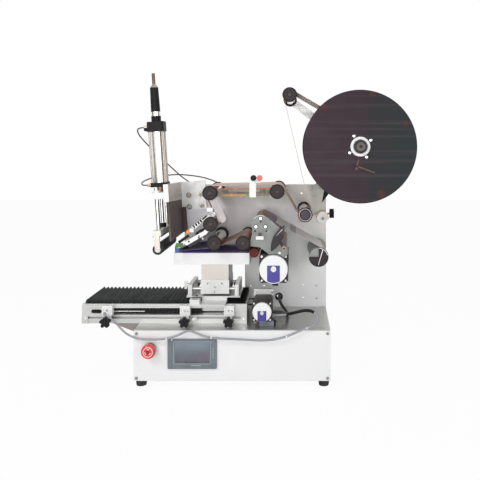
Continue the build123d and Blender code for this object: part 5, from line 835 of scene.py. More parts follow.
SENSOR_CABLE = (
    (-0.378, -0.1313, 0.197), (-0.378, -0.141, 0.197), (-0.369, -0.149, 0.193), (-0.352, -0.153, 0.186),
    (-0.338, -0.161, 0.178), (-0.32, -0.174, 0.166), (-0.298, -0.187, 0.152), (-0.266, -0.194, 0.141),
    (-0.226, -0.195, 0.139), (-0.186, -0.195, 0.141), (-0.152, -0.194, 0.15), (-0.121, -0.192, 0.166),
    (-0.096, -0.193, 0.155), (-0.066, -0.195, 0.145), (-0.022, -0.196, 0.142), (0.026, -0.196, 0.14),
    (0.078, -0.196, 0.1365), (0.124, -0.196, 0.139), (0.165, -0.195, 0.151), (0.204, -0.192, 0.168),
    (0.234, -0.187, 0.178), (0.247, -0.18, 0.194), (0.239, -0.172, 0.209), (0.214, -0.163, 0.2145),
    (0.188, -0.152, 0.206), (0.164, -0.138, 0.196), (0.142, -0.128, 0.19), (0.1125, -0.128, 0.19),
)
MOTOR_CABLE = (
    (0.13, 0.124, 0.162), (0.13, 0.124, 0.178), (0.129, 0.113, 0.191), (0.128, 0.092, 0.1955),
    (0.1275, 0.066, 0.195), (0.13, 0.044, 0.189), (0.138, 0.022, 0.179), (0.15, 0.0, 0.17),
    (0.157, -0.026, 0.167), (0.157, -0.054, 0.169), (0.154, -0.08, 0.179), (0.138, -0.094, 0.19),
    (0.1125, -0.094, 0.19),
)
UPPER_HOSE = (
    (-0.2812, -0.06, 0.7422), (-0.295, -0.06, 0.7413), (-0.3045, -0.05, 0.7345), (-0.303, -0.031, 0.719),
    (-0.287, -0.004, 0.694), (-0.264, 0.026, 0.664), (-0.242, 0.054, 0.637), (-0.218, 0.08, 0.609),
    (-0.19, 0.098, 0.58), (-0.152, 0.104, 0.556), (-0.104, 0.103, 0.532), (-0.058, 0.101, 0.5),
    (-0.02, 0.102, 0.456), (0.008, 0.103, 0.404), (0.024, 0.101, 0.347), (0.031, 0.102, 0.288),
    (0.029, 0.101, 0.229), (0.031, 0.1015, 0.1955), (0.03, 0.101, 0.162),
)
LOWER_HOSE = (
    (-0.2697, -0.06, 0.5665), (-0.2835, -0.06, 0.5657), (-0.292, -0.048, 0.5705), (-0.289, -0.027, 0.578),
    (-0.272, -0.001, 0.5855), (-0.25, 0.025, 0.591), (-0.226, 0.048, 0.593), (-0.2, 0.066, 0.594),
    (-0.17, 0.082, 0.591), (-0.124, 0.095, 0.584), (-0.074, 0.102, 0.566), (-0.028, 0.103, 0.533),
    (0.008, 0.101, 0.489), (0.034, 0.102, 0.437), (0.046, 0.103, 0.38), (0.044, 0.101, 0.321),
    (0.047, 0.102, 0.262), (0.045, 0.101, 0.212), (0.046, 0.101, 0.162),
)
SLEEVE_SPAN = (-55, -14)
SLEEVE_RADIUS = 0.0044
TIE_X = (0.228, 0.155, -0.060, -0.186)
TIE_RADIUS = 0.0038
FRONT_RUN = -90


def smooth_curve(name, points):
    """A smooth spline along a cord's points."""
    curve = bpy.data.curves.new(name, "CURVE")
    curve.dimensions = "3D"
    spline = curve.splines.new("NURBS")
    spline.points.add(len(points) - 1)
    for point, place in zip(spline.points, points):
        point.co = (*place, 1)
    spline.use_endpoint_u = True
    spline.order_u = 3
    spline.resolution_u = 12
    return curve


def route_line(points):
    """Places along a cord's smooth line."""
    curve = smooth_curve("route", points)
    carrier = bpy.data.objects.new("route", curve)
    mesh = bpy.data.meshes.new_from_object(carrier)
    line = [vertex.co.copy() for vertex in mesh.vertices]
    bpy.data.objects.remove(carrier)
    bpy.data.curves.remove(curve)
    bpy.data.meshes.remove(mesh)
    return line


def sleeve(bm, line, radius, segments=20):
    """A tube along places on a cord."""
    rings = []
    side = None
    for index, place in enumerate(line):
        before, after = line[max(index - 1, 0)], line[min(index + 1, len(line) - 1)]
        heading = (after - before).normalized()
        if side is None:
            side = heading.orthogonal().normalized()
        side = (side - heading * side.dot(heading)).normalized()
        up = heading.cross(side)
        angles = [2 * math.pi * step / segments for step in range(segments)]
        rings.append([bm.verts.new(place + (side * math.cos(a) + up * math.sin(a)) * radius) for a in angles])
    return skin(bm, rings)


def cable_fittings():
    """A black sleeve and pale ties on the sensor cable."""
    line = route_line(SENSOR_CABLE)
    black = sleeve(bmesh.new(), line[SLEEVE_SPAN[0]: SLEEVE_SPAN[1]], SLEEVE_RADIUS)
    made = piece("cable_sleeve", black, BLACK)
    ties = bmesh.new()
    for x in TIE_X:
        index = min(range(len(line) + FRONT_RUN), key=lambda index: abs(line[index].x - x))
        sleeve(ties, line[index: index + 2], TIE_RADIUS)
    return [made, piece("cable_ties", ties, WHITE_PLASTIC)]


def cord(name, points, diameter, material, node):
    """A cord along one smooth spline, from its exit back into the machine."""
    curve = smooth_curve(name, points)
    curve.bevel_depth = diameter / 2
    curve.bevel_resolution = 5
    curve.use_fill_caps = True
    curve.materials.append(material)
    made = put(name, curve)
    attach(made, "frame")
    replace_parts(made, node)
    return made


def cords():
    """The sensor cable, the motor cable and the two air hoses."""
    on_it = cable_fittings()
    cord("sensor_cable_jacket", SENSOR_CABLE, 0.006, GREY_JACKET, "sensor_cable")
    cord("motor_cable_jacket", MOTOR_CABLE, 0.009, DARK_JACKET, "motor_cable")
    cord("upper_air_hose", UPPER_HOSE, 0.004, HOSE, "air_hoses")
    cord("lower_air_hose", LOWER_HOSE, 0.004, HOSE, "air_hoses")


# Web of backing paper

WEB_YS = (-0.124, 0.036)
WEB_THICKNESS = 0.0003
MOVING_THICKNESS = 0.0008
PAPER_LIFT = 0.0005
ROLLER_RADIUS = 0.0175
NIP_RADIUS = 0.0135
DRIVE_RADIUS = 0.023
REWIND_RADIUS = 0.026
ROLL_RADIUS = 0.0455
TIP_PLACE = (-0.164, 0.380)
TIP_RADIUS = 0.002
LEFT, RIGHT = 1, -1


def wheel(joint, radius, side):
    """One wheel of the web's path: centre, radius of the paper's middle and side."""
    return Vector(axis_place(joint)), radius + PAPER_LIFT, side


def run_between(first, second):
    """The straight run that touches two wheels."""
    (centre_a, radius_a, side_a), (centre_b, radius_b, side_b) = first, second
    span = (centre_b - centre_a).length
    heading = math.atan2(centre_b.y - centre_a.y, centre_b.x - centre_a.x)
    angle = heading - math.asin((side_b * radius_b - side_a * radius_a) / span)
    normal = Vector((-math.sin(angle), math.cos(angle)))
    return centre_a - normal * side_a * radius_a, centre_b - normal * side_b * radius_b


def web_path(wheels, steps=10):
    """The web's middle line: straight runs, cut in short lengths, and arcs round the wheels."""
    path = []
    previous = None
    for first, second in zip(wheels, wheels[1:]):
        start, end = run_between(first, second)
        if previous is not None:
            centre, radius, side = first
            low = math.atan2(previous.y - centre.y, previous.x - centre.x)
            high = math.atan2(start.y - centre.y, start.x - centre.x)
            sweep = (high - low) * side % (2 * math.pi) * side
            for step in range(1, steps):
                angle = low + sweep * step / steps
                path.append(centre + radius * Vector((math.cos(angle), math.sin(angle))))
        path.extend(start.lerp(end, step / steps) for step in range(steps + 1))
        previous = end
    return path


def web_strip(name, path, thickness):
    """A thin strip of paper along a path."""
    bm = bmesh.new()
    rows = []
    for index, place in enumerate(path):
        heading = (path[min(index + 1, len(path) - 1)] - path[max(index - 1, 0)]).normalized()
        out = Vector((-heading.y, heading.x)) * thickness / 2
        upper, lower = place + out, place - out
        corners = [bm.verts.new((flat.x, y, flat.y)) for flat in (upper, lower) for y in WEB_YS]
        rows.append((corners[0], corners[1], corners[3], corners[2]))
    return piece(name, skin(bm, rows), PAPER)


def web():
    """The web in two strips: one from the roll round the dancer, and one past the fixed rollers."""
    roll = (Vector(axis_place("reel_spin")), ROLL_RADIUS, LEFT)
    dancer = wheel("dancer_roller_spin", ROLLER_RADIUS, LEFT)
    side = wheel("reel_side_roller_spin", ROLLER_RADIUS, RIGHT)
    fixed = [
        wheel("upper_right_roller_spin", ROLLER_RADIUS, LEFT),
        wheel("upper_left_roller_spin", ROLLER_RADIUS, LEFT),
        wheel("peel_feed_roller_spin", ROLLER_RADIUS, RIGHT),
        (Vector(TIP_PLACE), TIP_RADIUS, LEFT),
        wheel("lower_left_roller_spin", ROLLER_RADIUS, LEFT),
        wheel("lower_right_roller_spin", ROLLER_RADIUS, RIGHT),
        wheel("nip_roller_spin", NIP_RADIUS, LEFT),
        wheel("drive_roller_spin", DRIVE_RADIUS, RIGHT),
        wheel("rewind_spin", REWIND_RADIUS, RIGHT),
    ]
    moving = web_strip("web_to_dancer", web_path([roll, dancer, side]), MOVING_THICKNESS)
    moving.parent = None
    low, high = run_between(dancer, side)[1], roll[0]
    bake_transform(moving)
    path = web_path([dancer, side, *fixed])
    first = min(range(len(path)), key=lambda index: (path[index] - low).length)
    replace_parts(web_strip("web_past_rollers", path[first:], WEB_THICKNESS), "label_web")


# Control panel and stop button

SCREEN_PIXELS = ((175.0, 363.2), (209.4, 342.5))
FRAME_PIXELS = ((173.3, 364.2), (210.5, 341.5))
LIGHT_BAR_PIXELS = ((190.9, 366.0), (200.7, 365.0))
MARK_PIXELS = ((213.0, 357.0), (213.0, 354.3), (213.0, 351.6), (213.0, 348.9))
LAMP_PIXEL = (171.7, 340.0)
COVER_X = (0.012, 0.120)
COVER_HALF = 0.033
COVER_DEPTH = (0.0001, 0.0006)
LINE_WIDTH = 0.0016
LINE_TAIL = 0.009
MARK_RADIUS = 0.0030
LAMP_PROFILE = ((0.0012, -0.0010), (0.0020, -0.0006), (0.0024, SEAT))
STOP_RING = (0.0116, 0.0146)
STOP_WEDGE = (0.0064, 0.0092)
STOP_MIDDLE = 0.0052
WEDGE_TURNS = (90, 210, 330)
WEDGE_REACH = (-34, 22)


def control_panel():
    """The screen, the line round it, the lamp and the plain marks beside it."""
    low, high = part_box("hmi_panel")
    face = low.y
    left, right = (low.x + reach + inset for reach, inset in zip(COVER_X, (SEAT, -SEAT)))
    middle = (low.z + high.z) / 2
    half = COVER_HALF - SEAT
    ys = (face + COVER_DEPTH[0], face + COVER_DEPTH[1])
    cover = box(bmesh.new(), (left, right), ys, (middle - half, middle + half))
    piece("screen_cover", cover, BEZEL)
    xs, zs = seen_box(SCREEN_PIXELS, face)
    piece("screen", box(bmesh.new(), xs, raised(face, 0.0005), zs), GLASS, 0.0003)
    xs, zs = seen_box(FRAME_PIXELS, face)
    line = bmesh.new()
    for line_xs, line_zs in (
        ((xs[0], xs[1] + LINE_TAIL), (zs[1] - LINE_WIDTH, zs[1])), (xs, (zs[0], zs[0] + LINE_WIDTH)),
        ((xs[0], xs[0] + LINE_WIDTH), zs), ((xs[1] - LINE_WIDTH, xs[1]), zs),
    ):
        box(line, line_xs, raised(face, 0.0005), line_zs)
    xs, zs = seen_box(LIGHT_BAR_PIXELS, face)
    box(line, xs, raised(face, 0.0006), zs)
    piece("screen_line", line, SLATE_LIGHT, FINE_EDGE)
    marks = bmesh.new()
    for pixel in MARK_PIXELS:
        prism(marks, around(seen(pixel, face), MARK_RADIUS, 3, math.pi / 2), raised(face, 0.0005))
    piece("soft_keys", marks, SLATE_LIGHT, FINE_EDGE)
    lamp = lathe(bmesh.new(), seen(LAMP_PIXEL, face), [(radius, face + y) for radius, y in LAMP_PROFILE], 20)
    piece("panel_lamp", lamp, WHITE_PLASTIC)


def stop_face():
    """The pale ring on the stop button's face, and a dark six-sided middle with three light wedges."""
    low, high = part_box("estop_button")
    centre = ((low.x + high.x) / 2, (low.z + high.z) / 2)
    face = low.y
    ring = washer(bmesh.new(), centre, STOP_RING, raised(face, 0.0004))
    piece("stop_ring", ring, PALE_RED, FINE_EDGE, "estop")
    middle = prism(bmesh.new(), around(centre, STOP_MIDDLE, 6), raised(face, 0.0005))
    piece("stop_middle", middle, DARK_RED, 0.0003, "estop")
    wedges = bmesh.new()
    for turn in WEDGE_TURNS:
        start, end = (turn + reach for reach in WEDGE_REACH)
        prism(wedges, band_outline(centre, *STOP_WEDGE, start, end, 8), raised(face, 0.0004))
    piece("stop_wedges", wedges, PALE_RED, FINE_EDGE, "estop")


# Screws

PANEL_INSET = 0.008
PANEL_SCREW = (0.0042, 0.0028)
PRESS_BOLT_X = (-0.157, -0.116)
PRESS_BOLT_Z = (0.523, 0.485)
PRESS_BOLT_Y = 0.0633
PRESS_BOLT = (0.0062, 0.0058)
WASHER_DEPTH = 0.0012
WASHER_RADIUS = 0.0090
CLAMP_SCREW_X = (-0.441, -0.1202, 0.02825)
CLAMP_SCREW_Z = 0.1745
LARGE_SCREW = (0.0045, 0.003)
DRIVE_SCREW_REACH = 0.016
DRIVE_SCREW_RING = (0.0046, 0.0062)
PLATE_BOLT_PIXELS = ((260.7, 221.7), (255.1, 231.1), (266.3, 231.1))
# The painted highlight arc on the traction plate's nose: inner and outer radius, and angles in degrees.
NOSE_HIGHLIGHT_ARC = (0.0238, 0.0252, 60, 150)
STOP_SCREW_PLACE = (0.1345, 0.3745)
STOP_SCREW = (0.0040, 0.003)
# Where the painted highlight strip on the pinch lever starts and ends.
LEVER_HIGHLIGHT_PIXELS = ((276.2, 236.0), (282.4, 229.4))
LEVER_PIVOT = (0.1475, 0.389)
LEVER_RING = (0.0042, 0.0062)
LEVER_RING_DEPTH = (0.0019, 0.0026)


def drive_screws():
    """The places of the three screws round the drive roller."""
    return around(axis_place("drive_roller_spin"), DRIVE_SCREW_REACH, 3, math.pi / 2)


def screw_heads():
    """Cap screws of the press bracket, the front panel, the traction plate and the table's clamps."""
    heads, panel = bmesh.new(), bmesh.new()
    low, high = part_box("front_panel")
    for x in (low.x + PANEL_INSET, high.x - PANEL_INSET):
        for z in (low.z + PANEL_INSET, high.z - PANEL_INSET):
            socket_head(panel, (x, z), low.y, PANEL_SCREW)
    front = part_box("slide_extrusions")[0].y
    for x in CLAMP_SCREW_X:
        socket_head(heads, (x, CLAMP_SCREW_Z), front, LARGE_SCREW)
    for place in drive_screws():
        socket_head(heads, place, TRACTION_FACE_Y, LARGE_SCREW)
    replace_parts(piece("cap_screws", heads, STEEL), "machine_screws")
    piece("panel_screws", panel, CONE)
    bolts, washers = bmesh.new(), bmesh.new()
    for x in PRESS_BOLT_X:
        for z in PRESS_BOLT_Z:
            socket_head(bolts, (x, z), PRESS_BOLT_Y - WASHER_DEPTH, PRESS_BOLT, PRESS_LEAN)
            tube(washers, (x, z), WASHER_RADIUS, raised(PRESS_BOLT_Y, WASHER_DEPTH + 0.0001), 32, PRESS_LEAN)
    piece("press_bolts", bolts, BOLT)
    piece("press_washers", washers, DARK_MIRROR)


def traction_details():
    """Black discs as painted shade in the dowel holes, black rings round the screws, a painted highlight arc
    on the nose, the lever's stop screw, and a painted highlight strip and a ring on the lever.
    """
    holes = bmesh.new()
    # Painted shade: black discs stand just proud of the plate where the dowel holes are.
    for pixel in PLATE_BOLT_PIXELS:
        tube(holes, seen(pixel, TRACTION_FACE_Y), 0.0027, raised(TRACTION_FACE_Y, 0.0003))
    for place in drive_screws():
        washer(holes, place, DRIVE_SCREW_RING, raised(TRACTION_FACE_Y, 0.0004), 32)
    piece("traction_hole_shade_and_rings", holes, BLACK)
    # Painted highlight: a white arc along the top of the traction plate's nose.
    outline = band_outline(axis_place("drive_roller_spin"), *NOSE_HIGHLIGHT_ARC)
    arc = prism(bmesh.new(), outline, raised(TRACTION_FACE_Y, 0.0004))
    piece("nose_highlight", arc, WHITE_PLASTIC, FINE_EDGE)
    stop = bmesh.new()
    socket_head(stop, STOP_SCREW_PLACE, TRACTION_FACE_Y, STOP_SCREW)
    piece("lever_stop_screw", stop, STEEL)
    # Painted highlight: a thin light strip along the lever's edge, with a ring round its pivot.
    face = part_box("pinch_lever")[0].y
    start, end = (seen(pixel, face) for pixel in LEVER_HIGHLIGHT_PIXELS)
    edge = prism(bmesh.new(), bar_outline(start, end, 0.0004, 0.0009), raised(face, 0.0004))
    washer(edge, LEVER_PIVOT, LEVER_RING, [face + depth for depth in LEVER_RING_DEPTH], 32)
    piece("lever_highlight_and_ring", edge, TIE_ROD, FINE_EDGE, "pinch_lever")


# Motor caps

BOSS_SHARES = ((0.3, -0.0016), (0.36, -0.0026), (0.85, -0.0026), (1, -0.0016), (1, SEAT))
TRACTION_PLATE_CUT = (0.0382, 0.0185, 0.012)
TABLE_PLATE_CUT = (0.0262, 0.0128, 0.0045)
TRACTION_SCREW_STEP = (-0.035, 0.035)
TABLE_SCREW_STEP = (-0.0235, 0.0235)
BRACKET_SCREW_STEP = (-0.02585, 0.02585)
BRACKET_SCREW_UP = 0.0355
CAP_STEP = 0.010
MOTOR_FLANGE_Y = -0.1347
TABLE_BRACKET_Y = -0.0600
PLUG_Z = (0.1622, 0.1772)
RIDGE_Z = (0.1642, 0.1752)
RIDGE_WIDTH = 0.0025
RIDGE_STEP = 0.006


def cap_plate(name, centre, face, reach, half, top):
    """A plain violet plate on a motor's cap, cut off below by the cap's round edge."""
    x, z = centre
    corner = math.degrees(math.acos(half / reach))
    steps = 10
    low = []
    for step in range(steps + 1):
        angle = math.radians(-180 + corner + (180 - 2 * corner) * step / steps)
        low.append((x + reach * math.cos(angle), z + reach * math.sin(angle)))
    plate = prism(bmesh.new(), low + [(x + half, z + top), (x - half, z + top)], raised(face, 0.0006))
    return piece(name, plate, VIOLET_PLATE, 0.0003)


def cap_boss(name, centre, face, radius):
    """A bright round cover over the end of a motor's shaft."""
    profile = [(radius * share, face + y) for share, y in BOSS_SHARES]
    return piece(name, lathe(bmesh.new(), centre, profile, 40), STEEL)


def corner_screws(bm, centre, steps, face, size):
    """Four cap screws at the corners of a motor's flange."""
    for dx in steps:
        for dz in steps:
            socket_head(bm, (centre[0] + dx, centre[1] + dz), face, size)


def motor_details():
    """Plates and covers on both motor caps, the motors' screws and their connectors."""
    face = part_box("traction_motor")[0].y
    x, z = axis_place("feed_pulley_spin")
    cap_plate("traction_cap_plate", (x, z), face, *TRACTION_PLATE_CUT)
    cap_boss("traction_cap_boss", (x, z + 0.0015), face, 0.0088)
    connector = box(bmesh.new(), (x - 0.004, x + 0.0125), (-0.1330, -0.1120), (z - 0.0510, z - 0.0420))
    box(connector, (x - 0.001, x + 0.0095), (-0.1350, -0.1330), (z - 0.0490, z - 0.0440))
    piece("traction_connector", connector, BLACK, 0.0008)
    screws = bmesh.new()
    corner_screws(screws, (x, z), TRACTION_SCREW_STEP, MOTOR_FLANGE_Y, (0.0035, 0.0025))
    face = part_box("table_motor")[0].y
    x, z = axis_place("table_pulley_spin")
    cap_plate("table_cap_plate", (x, z), face, *TABLE_PLATE_CUT)
    cap_boss("table_cap_boss", (x, z - 0.002), face, 0.0058)
    corner_screws(screws, (x, z), TABLE_SCREW_STEP, face + CAP_STEP, (0.0028, 0.002))
    for dx in BRACKET_SCREW_STEP:
        socket_head(screws, (x + dx, z + BRACKET_SCREW_UP), TABLE_BRACKET_Y, (0.0035, 0.003))
    piece("motor_screws", screws, STEEL)
    plug = box(bmesh.new(), (x - 0.008, x + 0.034), (-0.146, -0.116), PLUG_Z)
    for step in range(5):
        ridge = x - 0.003 + step * RIDGE_STEP
        box(plug, (ridge, ridge + RIDGE_WIDTH), (-0.1468, -0.1458), RIDGE_Z)
    piece("motor_plug", plug, SLATE, 0.001)
    latch = box(bmesh.new(), (x + 0.0338, x + 0.040), (-0.142, -0.120), (0.1640, 0.1735))
    piece("motor_plug_latch", latch, BLACK, 0.0008)


# Reel front

REEL_SCREW_START = 31
REEL_SCREW_REACH = 0.0355
REEL_SCREW = (0.0044, 0.0026)
LATCH_PIXELS = ((358.7, 159.8), (356.8, 165.5), (358.1, 166.6), (374.8, 172.9), (356.6, 168.6))
HUB_PROFILE = (
    (0.0166, -0.0050), (0.0202, -0.0062), (0.0208, -0.0056), (0.0216, -0.0062),
    (0.027, -0.0062), (0.0288, -0.0045), (0.0288, -SEAT),
)
HUB_LINE = (0.0203, 0.0215)
CORE_PROFILE = ((0.0040, 0.0016), (0.0050, -SEAT), (0.0128, -SEAT), (0.0136, 0.0010), (0.0168, 0.0014))


def reel_front():
    """The white hub, its knurled core and the four screws of the front disc, with a bronze latch below."""
    centre = axis_place("reel_spin")
    hub = lathe(bmesh.new(), centre, [(radius, DISC_FACE_Y + y) for radius, y in HUB_PROFILE])
    piece("reel_hub_cover", hub, WHITE_PLASTIC, body="reel")
    line = washer(bmesh.new(), centre, HUB_LINE, (DISC_FACE_Y - 0.0064, DISC_FACE_Y - 0.0058))
    piece("reel_hub_line", line, SLATE, body="reel")
    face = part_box("label_reel")[0].y
    profile = [(radius, face + y) for radius, y in CORE_PROFILE]
    core = lathe(bmesh.new(), centre, [*profile, (CORE_PROFILE[-1][0], DISC_FACE_Y - 0.006)])
    piece("reel_core_cover", core, CORE, body="reel")
    screws = bmesh.new()
    for place in around(centre, REEL_SCREW_REACH, 4, math.radians(REEL_SCREW_START)):
        socket_head(screws, place, DISC_FACE_Y, REEL_SCREW)
    piece("reel_screws", screws, STEEL, body="reel")
    first, corner, second, end, dot = (seen(pixel, DISC_FACE_Y) for pixel in LATCH_PIXELS)
    latch = prism(bmesh.new(), bar_outline(first, corner, 0.0026), raised(DISC_FACE_Y, 0.0012))
    prism(latch, bar_outline(second, end, 0.0026, 0.0020), raised(DISC_FACE_Y, 0.0014))
    tube(latch, dot, 0.0045, raised(DISC_FACE_Y, 0.0020))
    piece("reel_latch", latch, DARK_BRONZE, 0.0003, "reel")


# Roller and spool faces

SIDE_RING = (0.0165, 0.0182)
SIDE_CORE = 0.0130
SIDE_EDGE = (0.0192, 0.0212, 140, 225)
NUT_RADIUS = 0.0062
NUT_START = 0.3
LINE_RADII = ((0.0085, 0.0094), (0.0112, 0.0121), (0.0139, 0.0148))
RIM = (0.0188, 0.0213)
BOSS_SCREW_PIXEL = (322.8, 218.6)
BOSS_FACE_Y = 0.0412
BOSS_SCREW = (0.0042, 0.002)
# The painted highlight arc on the rewind cap's rim: inner and outer radius, and angles in degrees.
REWIND_HIGHLIGHT_ARC = (0.0252, 0.0272, 12, 88)
REWIND_LINE = ((0.0130, 0.0240), (-0.0010, -0.0230))


def roller_fronts():
    """Rings and core on the reel-side roller, nuts and rims on the others, and the rewind's painted highlight
    arc and light bar.
    """
    centre = axis_place("reel_side_roller_spin")
    ring = washer(bmesh.new(), centre, SIDE_RING, raised(CAP_FACE_Y, 0.0005))
    piece("reel_side_ring", ring, ARM, FINE_EDGE, "reel_side_roller")
    core = tube(bmesh.new(), centre, SIDE_CORE, raised(CAP_FACE_Y, 0.0012), 40)
    piece("reel_side_core", core, CORE_VIOLET, body="reel_side_roller")
    edge = prism(bmesh.new(), band_outline(centre, *SIDE_EDGE), raised(CAP_FACE_Y, 0.0004))
    piece("reel_side_edge", edge, DARK_RED, body="reel_side_roller")
    for name in FIXED_CAPS + TURNING_CAPS:
        body = "frame" if name in FIXED_CAPS else name
        centre = axis_place(name + "_spin")
        nut = prism(bmesh.new(), around(centre, NUT_RADIUS, 6, NUT_START), raised(CAP_FACE_Y, 0.0022))
        for radii in LINE_RADII:
            washer(nut, centre, radii, raised(CAP_FACE_Y, 0.0004))
        piece(name + "_nut", nut, CAP_LINE, 0.0004, body)
        rim = washer(bmesh.new(), centre, RIM, raised(CAP_FACE_Y, 0.0008))
        piece(name + "_rim", rim, BLACK, 0.0004, body)
    boss = bmesh.new()
    socket_head(boss, seen(BOSS_SCREW_PIXEL, BOSS_FACE_Y), BOSS_FACE_Y, BOSS_SCREW)
    piece("boss_screw", boss, CONE)
    x, z = axis_place("rewind_spin")
    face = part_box("rewind_spool")[0].y
    # Painted highlight: a light arc on the rewind cap's upper right rim; then a light bar across the cap.
    marks = prism(bmesh.new(), band_outline((x, z), *REWIND_HIGHLIGHT_ARC), raised(face, 0.0005))
    start, end = ((x + across, z + up) for across, up in REWIND_LINE)
    prism(marks, bar_outline(start, end, 0.0014, 0.0009), raised(face, 0.0005))
    piece("rewind_highlight_and_bar", marks, LIGHT_CAST, FINE_EDGE, "rewind")


# Peel comb

COMB_PIXELS = ((194.1, 228.9), (209.5, 215.3))
TEETH_PIXELS = ((192.8, 227.6), (202.1, 220.2))
COMB_DISC_PIXEL = (213.6, 214.3)
COMB_BLOCKS = (
    ((209.0, 209.7), (-0.007, 0.011), (-0.002, 0.010), (-0.006, 0.006)),
    ((191.9, 230.4), (-0.006, 0.006), (-0.006, 0.002), (-0.005, 0.006)),
)
ORANGE_CAP_PIXEL = (188.2, 231.7)
UPPER_BAR_PIXELS = ((194.6, 226.6), (206.6, 215.9))
BLADE_PIXELS = ((188.5, 235.7), (178.6, 242.6))
SIDE_HOLE_PIXELS = ((188.7, 241.6), (198.7, 237.7))
TEETH = 9
TOOTH_REACH = (0.0045, 0.0046)
TOOTH_HALF = 0.0016
EYE_LINE = (0.0042, 0.0030)
GUARD_OUTLINE = ((-0.006, 0.009), (0.017, 0.014), (0.019, 0.024), (-0.002, 0.024))


def peel_comb():
    """The comb above the peel table, its end blocks and cap, the peel side's details and guard."""
    front, back = LINK_FACE_Y, LINK_FACE_Y + 0.007
    start, end = (Vector(seen(pixel, front)) for pixel in COMB_PIXELS)
    white = prism(bmesh.new(), bar_outline(start, end, 0.0020), (front, back))
    along = (end - start).normalized()
    out = Vector((-along.y, along.x))
    dark = bmesh.new()
    first, last = (Vector(seen(pixel, front)) for pixel in TEETH_PIXELS)
    for tooth in range(TEETH):
        place = first.lerp(last, tooth / (TEETH - 1))
        outline = bar_outline(place - out * TOOTH_REACH[0], place + out * TOOTH_REACH[1], TOOTH_HALF)
        prism(dark if tooth % 2 else white, outline, (front - 0.0006, back))
    x, z = seen(COMB_DISC_PIXEL, front)
    tube(white, (x, z), 0.0066, (front - 0.001, back), 32)
    across, up = EYE_LINE
    prism(dark, bar_outline((x - across, z + up), (x + across, z - up), 0.0009), (front - 0.0013, back))
    for pixel, (left, right), (near, far), (low, high) in COMB_BLOCKS:
        x, z = seen(pixel, front)
        box(white, (x + left, x + right), (front + near, front + far), (z + low, z + high))
    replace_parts(piece("comb_bar", white, LIGHT_CAST, 0.0006), "peel_comb")
    piece("comb_teeth", dark, BLACK, FINE_EDGE)
    upper, lower = (Vector(seen(pixel, front)) for pixel in UPPER_BAR_PIXELS)
    side = prism(bmesh.new(), bar_outline(upper, lower, 0.0021), (front + 0.0002, back - 0.0008))
    upper, lower = (Vector(seen(pixel, front)) for pixel in BLADE_PIXELS)
    prism(side, bar_outline(upper, lower, 0.0042), (front, front + 0.006))
    # Painted shade: black discs stand just proud of the peel side where its holes are.
    for pixel in SIDE_HOLE_PIXELS:
        tube(side, seen(pixel, front), 0.0026, raised(front, 0.0003))
    piece("peel_side_details", side, BLACK, FINE_EDGE)
    cap = tube(bmesh.new(), seen(ORANGE_CAP_PIXEL, front), 0.0058, (front - 0.006, front + 0.001), 32)
    piece("comb_cap", cap, ORANGE)
    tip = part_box("peel_table")[0]
    outline = [(tip.x + x, tip.z + z) for x, z in GUARD_OUTLINE]
    green = prism(bmesh.new(), outline, (LINK_FACE_Y, LINK_FACE_Y + 0.0062))
    piece("tip_guard", green, GREEN, 0.0008)
    ys = (LINK_FACE_Y + 0.001, LINK_FACE_Y + 0.0062)
    blue = box(bmesh.new(), (tip.x - 0.005, tip.x + 0.008), ys, (tip.z - 0.0015, tip.z + 0.0095))
    piece("tip_clip", blue, BLUE, 0.0008)


# Table and press details

KNOB_FACE_Y = 0.030
KNOB_PIXELS = ((196.0, 283.8), (237.6, 284.0))
KNOB_RADIUS = 0.0130
STRUT_DEPTHS = ((-0.112, -0.096), (0.046, 0.062))
STRUT_OUTLINE = ((-0.362, 0.1618), (-0.2803, 0.1618), (-0.2803, 0.128), (-0.300, 0.1376))
SENSOR_BASES = (("left", 0.018), ("middle", 0.016), ("right", 0.016))
SENSOR_SCREW = (0.0026, 0.0018)
NUT_X = (-0.1164, 0.0050)
NUT_PROFILE = ((0.0045, 0.2358), (0.0045, 0.2402), (0.0036, 0.2410))
NUT_TURN = Matrix(((1, 0, 0, 0), (0, 0, 1, -0.086), (0, 1, 0, 0), (0, 0, 0, 1)))
SKIRT_BOX = ((-0.1850, -0.1795), (-0.138, 0.0572), (0.405, 0.5190))
SKIRT_FLANGE = ((-0.1850, -0.1670), (0.0570, 0.0630), (0.405, 0.4860))
YOKE_PAD = ((-0.1460, 0.0460), (0.4215, 0.4241))
YOKE_PAD_HALF = 0.0135
VALVE_REACH = 0.0327
VALVE_Z = 0.7385
GROMMET_PLACE = (0.1275, 0.195)
GROMMET_RINGS = ((0.0125, 0.0690, 0.0735), (0.0125, 0.0825, 0.0870), (0.0098, 0.0730, 0.0830))
GROMMET_HOLE = 0.0075


def table_details():
    """Struts under the table's overhang, the sensors' screws, the jig's clamp knobs and its nuts."""
    struts = bmesh.new()
    for ys in STRUT_DEPTHS:
        prism(struts, STRUT_OUTLINE, ys)
    piece("table_struts", struts, STRUT, 0.001)
    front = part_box("sensor_block_left")[0].y
    lens = bmesh.new()
    for side, base in SENSOR_BASES:
        low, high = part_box("sensor_block_" + side)
        x, z = (low.x + high.x) / 2, (low.z + base + high.z) / 2
        socket_head(lens, (x + 0.009, z), front, SENSOR_SCREW)
        box(lens, (x - 0.0115, x - 0.0105), raised(front, 0.0004), (z - 0.006, z + 0.006))
    piece("sensor_screws", lens, STEEL)
    clamps = bmesh.new()
    for pixel in KNOB_PIXELS:
        tube(clamps, seen(pixel, KNOB_FACE_Y), KNOB_RADIUS, (KNOB_FACE_Y - SEAT, KNOB_FACE_Y + 0.012), 40)
    piece("jig_clamps", clamps, MAROON, body="carriage")
    nut = bmesh.new()
    for x in NUT_X:
        lathe(nut, (x, 0), NUT_PROFILE, 6, NUT_TURN)
    piece("jig_nuts", nut, STEEL, body="carriage")


